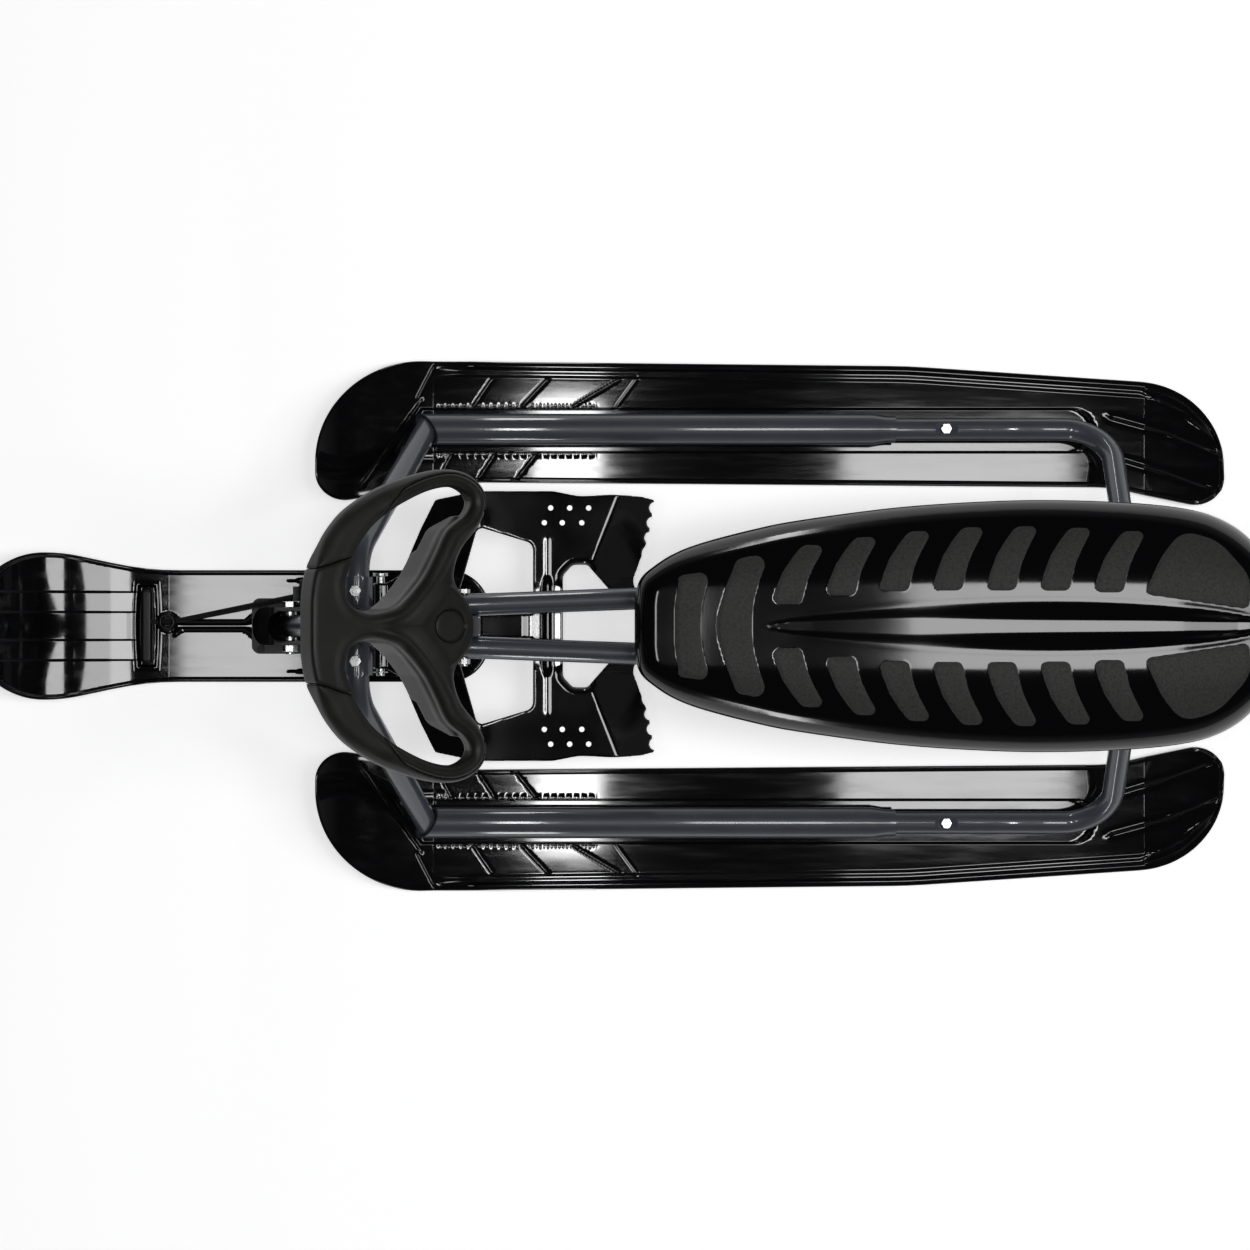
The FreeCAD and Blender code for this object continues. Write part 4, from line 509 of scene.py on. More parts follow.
def rearSkiMesh():
    s = rearSki
    loop = roundedLoop(s["outline"])
    tubeIn, tubeOut = s["tubeY"] - s["channelHalf"], s["tubeY"] + s["channelHalf"]

    def rims(x, y, d):
        end, ease = s["rimEnd"]
        outside = smooth(y - s["tubeY"], 12)
        rimWidth = s["innerRim"] + (s["rimWidth"] - s["innerRim"]) * outside
        stepWidth = rimWidth + (s["stepWidth"] - s["rimWidth"]) * outside
        rim, step = smooth(rimWidth - d, s["rimSoft"]), smooth(stepWidth - d, s["rimSoft"])
        return s["rim"] * (rim + (step - rim) / 3) * smooth(end - x, ease)

    def tread(x, y, d):
        # Overlapping tiles: each rises a little towards the groove ahead of it
        outer = smooth(y - tubeOut - 1.5, 1.2) * smooth(d - s["stepWidth"] - 1.2, 1.0)
        inner = smooth(tubeIn - 1.5 - y, 1.2) * smooth(d - 4.2, 1.0)
        high = np.zeros(x.shape)
        for steps, rises, part in ((s["outerSteps"], s["outerRise"], outer),
                                   (s["innerSteps"], s["innerRise"], inner)):
            for ahead, behind, rise in zip(steps, steps[1:], rises):
                front, back = lineX(ahead, y), lineX(behind, y)
                t = (x - back) / (front - back)
                high += part * (rise * np.clip(t, 0, 1) * (t <= 1) - ridge(x - back, *s["stepGroove"]))
        for lines, groove in ((s["foldLines"], s["foldGroove"]), (s["thinLines"], s["thinGroove"])):
            for line in lines:
                high -= ridge(lineDistance(line, x, y), *groove)
        return high

    def tailMarks(x, y):
        high = -ridge(chainDistance(s["tailArc"], x, y), *s["arcGroove"])
        for points in s["tailRibs"]:
            away = chainDistance(points, x, y)
            gutter, deep, wide = s["ribGutter"]
            (frontX, frontY), _, (rearX, rearY) = points
            under = y < np.interp(x, [rearX, frontX], [rearY, frontY])
            high += ridge(away, *s["ribHigh"]) - ridge(away - gutter, deep, wide) * under
        return high

    def top(x, y):
        d = edgeDistance(loop, x, y)
        high = s["deck"] + rims(x, y, d) + tread(x, y, d) + tailMarks(x, y)
        away = np.hypot(np.maximum(s["channelRear"] - x, 0), y - s["tubeY"])
        channel = smooth(s["channelHalf"] - away, 1.0) * smooth(lineX(s["channelFront"], y) - x, 1.2)
        high = high * (1 - channel) + s["floor"] * channel
        wave = smooth(np.sin(2 * math.pi * x / s["notchPitch"]), 0.5)
        past, wide = s["notchLip"]
        lip = ridge(np.abs(y - s["tubeY"]) - s["channelHalf"] - past, s["notchDeep"], wide)
        first, last = s["notchSpan"]
        high -= wave * lip * smooth(x - first, 2) * smooth(last - x, 2)
        return bent(high - edgeDrop(d, s["edgeRound"]), x, s["noseBend"], s["tailBend"])

    def sole(x, y):
        high = edgeDrop(edgeDistance(loop, x, y), s["edgeRound"])
        rear, front = s["soleSpan"]
        for near, far in s["soleGrooves"]:
            across = smooth(y - near, 1.5) * smooth(far - y, 1.5)
            high = high + s["grooveDeep"] * across * smooth(front - x, 4) * smooth(x - rear, 4)
        return bent(high, x, s["noseBend"], s["tailBend"])

    crisp = [wall + way * k for wall in (tubeIn, tubeOut) for k in s["crisp"] for way in (-1, 1)]
    lines = withCrisp(np.arange(*s["lineSpan"], s["lineStep"]), crisp, 0.8)
    creases = (s["noseBend"][0], s["tailBend"][0])
    rows = gridRows(s["tailX"], s["noseX"], s["rowStep"], s["fineRows"], s["fineStep"], creases)
    return mouldedSheet("ski_mesh", loop, rows, lines, np.array(s["edges"]), top, sole)


def makeRearSkis():
    left = rearSkiMesh()
    right = mirroredMesh(left, "ski_mesh_right")
    for mesh, side in ((left, "left"), (right, "right")):
        dress(mesh, finishes["ski_plastic"], "moulded_ski_" + side, "ski_" + side)
    print("rear skis:", len(left.polygons), "faces each")


# Front ski, in mm
frontSki = {
    "noseX": 600.5, "tailX": 116.0, "base": 8.0, "rim": 3.0, "rimWidth": 3.6, "edgeRound": 1.8,
    "bend": (428, 232, 1, 0), "crease": (0.142, 31.0),  # start, radius, no crease; slope and fade of its own
    "outline": [(600.5, 71, 58), (526, 71, 130), (450, 54.4, 300), (116, 54.4, 40)],
    # Slot: middle, half width, half length; rib: rear, front, half width; rails: rear, front, side, half width
    "slot": (449.0, 7.4, 39.0), "slotBow": 1.6, "slotFloor": 3.0, "lipHigh": 1.0, "lipWidth": 1.8,
    "eyelet": (429.0, -4.0), "eyeletRound": 8.6, "eyeletHole": 4.0, "eyeletHigh": 4.6, "eyeletDeep": 2.5,
    "rib": (343.0, 422.0, 4.3), "ribHigh": 4.0, "flareBack": (9.0, 7.0), "flareAhead": (4.5, 5.0),
    "rails": (156.0, 311.5, 44.0, 1.7), "railHigh": 3.0, "railTaper": 24.0,
    "noseSteps": (13.5, 33.0), "stepHigh": 0.7, "stepFromX": 462.0,
    "soleGroove": (8.0, 36.0), "soleSpan": (150.0, 425.0), "grooveDeep": 2.5,
    "rowStep": 1.7, "lineStep": 1.5, "fineRows": (417, 463), "fineStep": 0.8,
    "crispAt": (13.5, 33.0, 39.0, 44.0), "crisp": (-1.9, -1.1, -0.4, 0.4, 1.1, 1.9),
    "edges": (0, 0.2, 0.5, 1.0, 1.8, 2.6, 3.2, 3.7, 4.3, 5.2),
}


def frontSkiMesh():
    s = frontSki
    corners = s["outline"]
    loop = roundedLoop(corners + [(x, -y, r) for x, y, r in corners[::-1]])

    def slotField(x, y):
        middle, half, reach = s["slot"]
        bow = s["slotBow"] * (1 - (y / reach) ** 2)
        return np.minimum(half + np.clip(bow, -2, 2) - np.abs(x - middle), reach - np.abs(y))

    def ribAndEyelet(x, y):
        back, ahead, half = s["rib"]
        flare = ridge(x - back, *s["flareBack"]) + ridge(x - ahead, *s["flareAhead"])
        crest = np.clip(1 - (np.abs(y) / (half + flare)) ** 2, 0, 1) ** 0.35
        rib = s["ribHigh"] * crest * smooth(x - back + 2, 1.5) * smooth(ahead - x, 2.5)
        r = np.hypot(x - s["eyelet"][0], y - s["eyelet"][1])
        boss = s["eyeletHigh"] * smooth(s["eyeletRound"] - r, 1.8)
        boss = boss - (s["eyeletHigh"] + s["eyeletDeep"]) * smooth(s["eyeletHole"] - r, 0.9)
        onBoss = np.where(r < s["eyeletRound"] - 1.8, boss, np.maximum(boss, rib))
        return np.where(r < s["eyeletRound"] + 2, onBoss, rib)

    def rails(x, y):
        start, end, side, half = s["rails"]
        taper = np.clip((end - x) / s["railTaper"], 0.05, 1)
        across = smooth(half * taper - np.abs(np.abs(y) - side), 0.7)
        return s["railHigh"] * across * smooth(x - start, 2) * (x < end)

    def top(x, y):
        d = edgeDistance(loop, x, y)
        high = s["base"] + s["rim"] * smooth(s["rimWidth"] - d, 0.8)
        inside = smooth(d - s["rimWidth"] - 1.5, 0.8)
        for side in s["noseSteps"]:
            step = smooth(side - np.abs(y), 0.6) * smooth(x - s["stepFromX"], 8)
            high = high + s["stepHigh"] * step * inside
        high = high + ribAndEyelet(x, y) + rails(x, y)
        slot = slotField(x, y)
        high = high + ridge(slot + s["lipWidth"], s["lipHigh"], s["lipWidth"])
        hollow = smooth(slot, 0.7)
        high = high * (1 - hollow) + s["slotFloor"] * hollow - edgeDrop(d, s["edgeRound"])
        slope, fade = s["crease"]
        high = high + slope * fade * (1 - np.exp(-np.maximum(x - s["bend"][0], 0) / fade))
        return bent(high, x, s["bend"])

    def sole(x, y):
        near, far = s["soleGroove"]
        rear, front = s["soleSpan"]
        across = smooth(np.abs(y) - near, 1.5) * smooth(far - np.abs(y), 1.5)
        groove = s["grooveDeep"] * across * smooth(x - rear, 5) * smooth(front - x, 5)
        return bent(edgeDrop(edgeDistance(loop, x, y), s["edgeRound"]) + groove, x, s["bend"])

    crisp = [side * (at + k) for side in (-1, 1) for at in s["crispAt"] for k in s["crisp"]]
    lines = withCrisp(np.arange(-70, 70.1, s["lineStep"]), crisp, 0.7)
    rows = gridRows(s["tailX"], s["noseX"], s["rowStep"], s["fineRows"], s["fineStep"], (s["bend"][0],),
                    ease=30)
    return mouldedSheet("front_ski_mesh", loop, rows, lines, np.array(s["edges"]), top, sole)


def makeFrontSki():
    mesh = frontSkiMesh()
    dress(mesh, finishes["ski_plastic"], "moulded_front_ski", "front_ski")
    print("front ski:", len(mesh.polygons), "faces")


# Seat, in mm: plan and crown are given by the distance behind the nose
seat = {
    "floorZ": 200.0, "noseX": -24.0, "sideRound": 21.0, "sideFall": 18.0, "sidePower": 2.2,
    "crownFall": 0.2, "shoulder": 0.78, "shoulderLeast": (66, 14), "levelHalf": 31.0,
    "plan": [(0, 20), (2, 34), (6, 43.5), (14, 51.5), (34, 65), (60, 75.5), (105, 87.5), (150, 96.5),
             (241, 108.3), (331, 114.0), (400, 114.4), (467, 111.0), (512, 104.5), (540, 94), (560, 78),
             (571, 58), (576.5, 28)],
    "crown": [(0, 46), (40, 49), (60, 49.8), (105, 50.5), (180, 51.8), (241, 52.8), (331, 54), (422, 56.4),
              (500, 59.6), (577, 58)],
    "channel": (-138.0, -592.0), "channelHalf": 22.0, "channelDeep": 5.0, "stripHalf": 4.6, "tipDeep": 0.9,
    "deepFrom": (-360.0, 90.0), "channelFull": 9.0, "channelLip": (0.2, 2.6), "lipAway": 2.0,
    "padHigh": 0.7, "padEdge": 1.6, "padSoft": 0.9, "padPitch": 48.1, "padCount": 7,
    "padInner": (-146.8, -173.7), "padOuter": (-175.5, -196.2),
    "padInnerY": (19.8, 27.5, 31.5, 32.4, 32.4, 32.0, 30.6),
    "padOuterY": (72.8, 80.0, 85.5, 89.0, 89.9, 88.5, 85.4),
    "frontPads": [[(-64, 45.5, 7), (-54, 0, 240), (-64, -45.5, 7), (-93, -49.5, 7), (-83.5, -21, 90),
                   (-83.5, 21, 90), (-93, 49.5, 7)],
                  [(-116, 60, 8), (-97.5, 13, 120), (-97.5, -13, 120), (-116, -60, 8), (-146, -66, 8),
                   (-129.5, -24, 90), (-129.5, 24, 90), (-146, 66, 8)]],
    "rearPad": [(-481, 29, 5), (-497, 63, 60), (-517, 86, 20), (-549, 77, 40), (-577, 44, 30),
                (-575, 15.5, 6)],
    "soleEdge": 3.0, "soleHollow": (8.2, 5.0), "rowStep": 1.65, "lineStep": 1.65,
    "edges": (0, 0.2, 0.6, 1.2, 2.0, 3.0, 4.5, 6.5, 7.8, 8.2, 8.6, 11),
}


def inOutline(loop, x, y, margin=5):
    # Distance inside the outline, negative outside, found only near its box
    result = np.full(x.shape, -50.0)
    near = ((x > loop[:, 0].min() - margin) & (x < loop[:, 0].max() + margin)
            & (y > loop[:, 1].min() - margin) & (y < loop[:, 1].max() + margin))
    px, py = x[near], y[near]
    inside = np.zeros(px.shape, bool)
    for (ax, ay), (bx, by) in zip(loop, np.roll(loop, -1, axis=0)):
        if ay == by:
            continue
        crosses = ((ay > py) != (by > py)) & (px < (bx - ax) * (py - ay) / (by - ay) + ax)
        inside ^= crosses
    result[near] = np.where(inside, 1.0, -1.0) * edgeDistance(loop, px, py)
    return result


def throughPoints(points, steps=12):
    # A smooth line through given points
    p = [np.array(q, float) for q in points]
    line = []
    for i in range(len(p) - 1):
        a, b, c, d = p[max(i - 1, 0)], p[i], p[i + 1], p[min(i + 2, len(p) - 1)]
        for k in range(steps):
            t = k / steps
            line.append(0.5 * (2 * b + (c - a) * t + (2 * a - 5 * b + 4 * c - d) * t ** 2
                               + (3 * b - a - 3 * c + d) * t ** 3))
    return np.array(line + [p[-1]])


def seatPads():
    s = seat
    (frontIn, rearIn), (frontOut, rearOut) = s["padInner"], s["padOuter"]
    pairs = [s["rearPad"]]
    for k in range(s["padCount"]):
        back = s["padPitch"] * k
        low, high = s["padInnerY"][k], s["padOuterY"][k]
        middle = low + (high - low) * 0.56
        corners = [(frontIn, low, 6), (frontIn - 9, middle, 80), (frontOut, high, 11),
                   (rearOut, high, 4.5), (rearIn - 5.5, middle - 6, 80), (rearIn, low, 6)]
        pairs.append([(x - back, y, r) for x, y, r in corners])
    loops = s["frontPads"] + pairs + [[(x, -y, r) for x, y, r in corners] for corners in pairs]
    return [roundedLoop(corners, 8) for corners in loops]


def seatMesh():
    s = seat
    half = throughPoints([(s["noseX"] - back, y) for back, y in s["plan"]])
    loop = np.concatenate([half, half[::-1] * np.array([1, -1])])
    halfAt = half[np.argsort(half[:, 0])]
    crown = throughPoints([(s["noseX"] - back, high) for back, high in s["crown"]])[::-1]
    pads = seatPads()

    def padField(x, y):
        field = np.full(x.shape, -50.0)
        for pad in pads:
            field = np.maximum(field, inOutline(pad, x, y))
        return field

    def channelled(x, y):
        # A lens-shaped channel that is shallow at its front tip, and its faint lip
        front, rear = s["channel"]
        t = np.clip((x - rear) / (front - rear), 0, 1)
        lens = s["channelHalf"] * np.sin(math.pi * t ** 0.85) ** 0.7 + 0.01
        wall = np.clip((lens - np.abs(y)) / np.maximum(lens - s["stripHalf"], 1.0), 0, 1)
        bowl = wall * wall * (3 - 2 * wall)
        start, ease = s["deepFrom"]
        deep = s["tipDeep"] + (s["channelDeep"] - s["tipDeep"]) * smooth(start - x, ease)
        lip = ridge(np.abs(y) - lens - s["lipAway"], *s["channelLip"])
        return (lip - deep * bowl) * np.clip(lens / s["channelFull"], 0, 1)

    def top(x, y):
        d = edgeDistance(loop, x, y)
        high = np.interp(x, crown[:, 0], crown[:, 1])
        wide = np.interp(x, halfAt[:, 0], halfAt[:, 1]) * s["shoulder"]
        wide = softMax(wide, *s["shoulderLeast"]) - s["levelHalf"]
        away = np.clip((np.abs(y) - s["levelHalf"]) / wide, 0, 1.5)
        z = s["floorZ"] + high - s["crownFall"] * high * away ** 2
        edge = np.clip(1 - d / s["sideRound"], 0, 1)
        z -= s["sideFall"] * (1 - np.sqrt(np.maximum(1 - edge ** s["sidePower"], 0)))
        return z + channelled(x, y) + s["padHigh"] * smooth(padField(x, y) - s["padEdge"], s["padSoft"])

    def sole(x, y):
        d = edgeDistance(loop, x, y)
        start, deep = s["soleHollow"]
        return s["floorZ"] + edgeDrop(d, s["soleEdge"], 0.8) + deep * smooth(d - start, 0.4)

    tail, nose = half[:, 0].min(), half[:, 0].max()
    rows = gridRows(tail, nose, s["rowStep"], (nose, nose), 1.0, ease=24, count=22)
    lines = np.arange(-112, 112.1, s["lineStep"])
    mesh = mouldedSheet("seat_mesh", loop, rows, lines, np.array(s["edges"]), top, sole, 4)
    co = np.empty(len(mesh.vertices) * 3)
    mesh.vertices.foreach_get("co", co)
    co = co.reshape(-1, 3) / mm
    field = padField(co[:, 0], co[:, 1])
    field[co[:, 2] < s["floorZ"] + 20] = -50
    store = mesh.attributes.new("padField", "FLOAT", "POINT")
    store.data.foreach_set("value", np.clip(field, -3, 3).astype(np.float32))
    return mesh


def seatMoulding():
    # Two-shot seat: gloss black shell with grained grey pads that stand a little proud
    # The grain is drawn coarser than real so that it shows
    look = {"shell": "#08080a", "pads": ("#383836", "#262625"), "padsAt": (0.05, 0.45), "padBorder": 0.25,
            "shellRough": (0.06, 0.11), "padRough": 0.62, "grainMm": 2.4, "fineMm": 1.1, "cloudMm": 50,
            "bump": (0.6, 0.6)}
    material, tree, shader = newMaterial("gloss shell with grained pads")
    place = addNode(tree, "ShaderNodeTexCoord").outputs["Object"]
    field = addNode(tree, "ShaderNodeAttribute", {"attribute_name": "padField"})
    onPad = addNode(tree, "ShaderNodeMapRange", links={"Value": field.outputs["Fac"]}, values={
        "From Min": -look["padBorder"], "From Max": look["padBorder"]}).outputs["Result"]
    grain = addNode(tree, "ShaderNodeTexVoronoi", {"feature": "SMOOTH_F1"},
                    {"Scale": perMetre(look["grainMm"]), "Smoothness": 0.4}, {"Vector": place})
    fine = addNode(tree, "ShaderNodeTexNoise", values={"Scale": perMetre(look["fineMm"]), "Detail": 3.0},
                   links={"Vector": place})
    cloud = addNode(tree, "ShaderNodeTexNoise", values={"Scale": perMetre(look["cloudMm"]), "Detail": 3.0},
                    links={"Vector": place})
    speck = addNode(tree, "ShaderNodeMath", {"operation": "MULTIPLY"},
                    links={0: grain.outputs["Distance"], 1: fine.outputs["Fac"]}).outputs["Value"]
    padTone = addNode(tree, "ShaderNodeValToRGB", links={"Fac": speck})
    setStops(padTone, look["padsAt"], look["pads"])
    tone = addNode(tree, "ShaderNodeMix", {"data_type": "RGBA"}, links={"Factor": onPad})
    shellTone, padSide = [socket for socket in tone.inputs if socket.type == "RGBA"]
    shellTone.default_value = linear(look["shell"])
    tree.links.new(padTone.outputs["Color"], padSide)
    result = [socket for socket in tone.outputs if socket.type == "RGBA"][0]
    least, most = look["shellRough"]
    wear = addNode(tree, "ShaderNodeMapRange", values={"To Min": least, "To Max": most},
                   links={"Value": cloud.outputs["Fac"]})
    rough = addNode(tree, "ShaderNodeMix", {"data_type": "FLOAT"}, {3: look["padRough"]},
                    {0: onPad, 2: wear.outputs["Result"]})
    height = addNode(tree, "ShaderNodeMath", {"operation": "MULTIPLY"}, links={0: speck, 1: onPad})
    strength, deepMm = look["bump"]
    bump = addNode(tree, "ShaderNodeBump", values={"Strength": strength, "Distance": deepMm * mm},
                   links={"Height": height.outputs["Value"]})
    tree.links.new(result, shader.inputs["Base Color"])
    tree.links.new(rough.outputs[0], shader.inputs["Roughness"])
    tree.links.new(bump.outputs["Normal"], shader.inputs["Normal"])
    shader.inputs["IOR"].default_value = 1.42
    return material


def makeSeat():
    mesh = seatMesh()
    dress(mesh, seatMoulding(), "moulded_seat", "seat_shell")
    print("seat:", len(mesh.polygons), "faces")


# Shapes worked out as distances on a 3-D grid

def softMax(a, b, width):
    # The larger of two distances, with the corner between them rounded
    t = np.clip(0.5 + 0.5 * (a - b) / width, 0, 1)
    return b + (a - b) * t + width * t * (1 - t)


def softMin(a, b, width):
    return -softMax(-a, -b, width)


def skin(name, field, low, step, placed=None, passes=2):
    # Closed mesh on the zero of a distance field, one vertex for each cell that the surface passes
    inside = field < 0
    size = np.array(field.shape) - 1
    total = np.zeros(tuple(size) + (3,), np.float32)
    count = np.zeros(tuple(size), np.float32)

    def at(grid, o):
        return grid[o[0]:o[0] + size[0], o[1]:o[1] + size[1], o[2]:o[2] + size[2]]

    corners = [(i, j, k) for i in (0, 1) for j in (0, 1) for k in (0, 1)]
    for a in corners:
        for axis in range(3):
            if a[axis]:
                continue
            b = tuple(1 if n == axis else a[n] for n in range(3))
            fa, fb = at(field, a), at(field, b)
            crossing = at(inside, a) != at(inside, b)
            t = np.where(crossing, fa / np.where(crossing, fa - fb, 1), 0)
            for n in range(3):
                total[..., n] += np.where(crossing, a[n] + (t if n == axis else 0), 0)
            count += crossing
    cells = np.argwhere(count > 0)
    index = np.full(tuple(size), -1, np.int64)
    index[tuple(cells.T)] = np.arange(len(cells))
    points = (cells + total[tuple(cells.T)] / count[tuple(cells.T)][:, None]) * step + np.array(low)
    faces = []
    for axis in range(3):
        u, v = (axis + 1) % 3, (axis + 2) % 3
        first = [slice(None)] * 3
        first[axis] = slice(0, -1)
        second = [slice(None)] * 3
        second[axis] = slice(1, None)
        turned = inside[tuple(first)] != inside[tuple(second)]
        edges = np.argwhere(turned)
        eu, ev = edges[:, u], edges[:, v]
        edges = edges[(eu > 0) & (ev > 0) & (eu < size[u]) & (ev < size[v])]
        ring = []
        for du, dv in ((1, 1), (0, 1), (0, 0), (1, 0)):
            cell = edges.copy()
            cell[:, u] -= du
            cell[:, v] -= dv
            ring.append(index[tuple(cell.T)])
        quad = np.stack(ring, axis=1)
        outward = inside[tuple(edges.T)]
        faces.append(np.where(outward[:, None], quad, quad[:, ::-1]))
    points = placed(points) if placed else points
    mesh = bpy.data.meshes.new(name)
    mesh.from_pydata((points * mm).tolist(), [], np.concatenate(faces).tolist())
    with editing(mesh) as work:
        for _ in range(passes):
            bmesh.ops.smooth_vert(work, verts=work.verts, factor=0.5,
                                  use_axis_x=True, use_axis_y=True, use_axis_z=True)
    mesh.shade_smooth()
    return mesh


def roundedSlab(edge, high, half, radius):
    # Distance to a slab of this half height, whose rim is rounded; edge is the distance inside its outline
    a, b = radius - edge, np.abs(high) - (half - radius)
    return np.hypot(np.maximum(a, 0), np.maximum(b, 0)) + np.minimum(np.maximum(a, b), 0) - radius


# Steering wheel, in mm: ahead of the steering axis, to the left, and up along it
wheel = {
    "up": 303.0, "halfHigh": 13.0, "step": 1.5, "rimRound": 10.5, "frontCrisp": 6.6, "wingCrisp": 2.5,
    "outline": [(139, 0), (138.5, 25), (134.5, 47), (127, 66), (117, 83), (100, 101), (72, 118), (40, 130),
                (11, 136.5), (-14, 134.5), (-31, 123), (-36, 106), (-30.5, 88), (-18, 74), (-9.5, 60),
                (-7, 46), (-10.5, 34), (-18, 20), (-21.5, 0)],
    "opening": [(106.5, 36.7), (102.4, 49), (93, 67), (81, 82.7), (68, 95), (53.7, 105), (26.7, 117.5),
                (3.9, 122.3), (-12.3, 118.3), (-20, 108.8), (-13.7, 96.8), (3.5, 83.1), (14.2, 63.8),
                (26.7, 42.7), (43.4, 24), (56.2, 15), (76, 11.4), (94.4, 14.5), (104, 23.3)],
    "web": [(70, 0), (70, 10), (56, 14), (43, 24), (26.7, 43), (14.2, 64), (3.5, 83), (-9, 96), (-17, 92),
            (-6, 74), (4, 56), (16, 34), (28, 14), (32, 0)],
    "webLow": (-40.0, -33.0, -10.0), "webStepY": 66.0, "webEndY": 98.0,
    "beadIn": 6.2, "beadUp": 7.4, "beadRound": 7.2, "wingFall": 0.5, "wingFallMost": 9.0,
    "seam": (41.0, 0.3), "seamGap": 0.35, "seamBead": 10.5, "seamBeadFrom": (48.0, 74.0),
    "hornCut": ((-25, 99), (0.3, 0.95)),
    "hubTop": 33.0, "hubFoot": 18.5, "hubDeep": 57.0, "hubLean": 8.0, "capRound": 14.6, "capDeep": 1.4, "capGap": 0.5,
}


def wheelFields(d, y, h):
    s = wheel
    half = np.abs(y)
    flatD, flatY = d[:, :, 0], half[:, :, 0]
    outline = throughPoints(s["outline"])
    outline = np.concatenate([outline, outline[::-1] * np.array([1, -1])])
    opening = throughPoints(s["opening"] + s["opening"][:1])[:-1]
    web = np.array(s["web"])
    inOut = inOutline(outline, flatD, flatY, 60)[:, :, None]
    inOpen = inOutline(opening, flatD, flatY, 60)[:, :, None]
    inWeb = inOutline(np.concatenate([web, web[::-1] * np.array([1, -1])]), flatD, flatY, 60)[:, :, None]
    edge = np.minimum(inOut, -inOpen)
    # Crisp front face between the seams, rounder rim, softer wing edges
    front = smooth(d - 92, 14) * smooth(60 - half, 14)
    wing = smooth(10 - d, 26) * smooth(86 - half, 14)
    radius = s["rimRound"] - s["frontCrisp"] * front - s["wingCrisp"] * wing
    behind = np.clip(-inOpen - 9.5, 0, None)
    rear = smooth(46 - d, 30) * smooth(104 - half, 12)
    drop = np.minimum(s["wingFall"] * behind, s["wingFallMost"]) * rear
    body = roundedSlab(edge, h + drop, s["halfHigh"], radius)
    beadFront = smooth(70 - d, 12)
    bead = np.hypot(-inOpen - s["beadIn"], h - s["beadUp"]) - s["beadRound"] * (0.72 + 0.28 * beadFront)
    body = softMin(body, bead, 3.0)
    middleLow, wingLow, hornLow = s["webLow"]
    low = middleLow + (wingLow - middleLow) * smooth(half - s["webStepY"], 1.6)
    low = low + (hornLow - wingLow) * smooth(half - s["webEndY"] + 6, 7)
    wall = roundedSlab(inWeb + 1.0, h - low / 2, -low / 2, 1.8)
    body = softMin(body, wall, 4.0)
    along = np.clip((h + s["hubDeep"]) / s["hubDeep"], 0, 1)
    cone = np.hypot(d - s["hubLean"] * along, y) - (s["hubFoot"] + (s["hubTop"] - s["hubFoot"]) * along)
    hub = np.maximum(cone, np.maximum(-s["hubDeep"] - h, h - 4))
    body = softMin(body, hub, 7.0)
    top = s["halfHigh"] - s["wingFallMost"]
    fromAxis = np.hypot(d, y)
    well = np.maximum(fromAxis - s["capRound"] - s["capGap"], top - s["capDeep"] - h)
    body = np.maximum(body, -well)
    cap = roundedSlab(s["capRound"] - fromAxis, h - top + 0.5, s["capDeep"] - 0.1, 1.0)
    # Where the soft grips begin
    first, slant = s["seam"]
    seam = half - first - slant * (s["outline"][0][0] - d)
    near, far = s["seamBeadFrom"]
    bead = -inOpen - s["seamBead"] * smooth((near + far) / 2 - d, (far - near) / 2)
    (px, py), (nx, ny) = s["hornCut"]
    horn = (d - px) * nx + (half - py) * ny
    grip = np.minimum(np.minimum(seam, bead), horn)
    return body, grip, cap


def onWheel(points):
    # From the wheel's own frame to the sled's
    joint = [j for j in frame["record"]["behaviour"]["joints"] if j["name"] == "steer"][0]
    up = np.array(joint["axis"])
    ahead = np.cross((0, 1, 0), up)
    middle = np.array(joint["pos_m"]) / mm + up * wheel["up"]
    turned = np.array([ahead, (0, 1, 0), up])
    return middle + sum(np.outer(points[:, n], turned[n]) for n in range(3))


def makeWheel():
    step = wheel["step"]
    axes = [np.arange(a, b, step) for a, b in ((-42, 147), (-142.5, 143.5), (-62, 20))]
    low = [axis[0] for axis in axes]
    d, y, h = np.meshgrid(*axes, indexing="ij")
    body, grip, cap = wheelFields(d, y, h)
    gap = wheel["seamGap"] / 2
    core = skin("wheel_core_mesh", np.maximum(body, grip + gap), low, step, onWheel)
    dress(core, finishes["wheel_plastic"], "moulded_wheel_core", "wheel_core")
    disc = skin("hub_cap_mesh", cap, low, step, onWheel)
    dress(disc, finishes["wheel_plastic"], "plain_hub_cap", "hub_cap")
    soft = np.maximum(body, gap - grip)
    for side, part in (("left", y), ("right", -y)):
        mesh = skin("wheel_grip_mesh", np.maximum(soft, 5 - part), low, step, onWheel)
        dress(mesh, finishes["grip_rubber"], "soft_grip_" + side, "wheel_grip_" + side)
    print("wheel:", len(core.polygons), "core faces,", len(mesh.polygons), "faces in a grip")


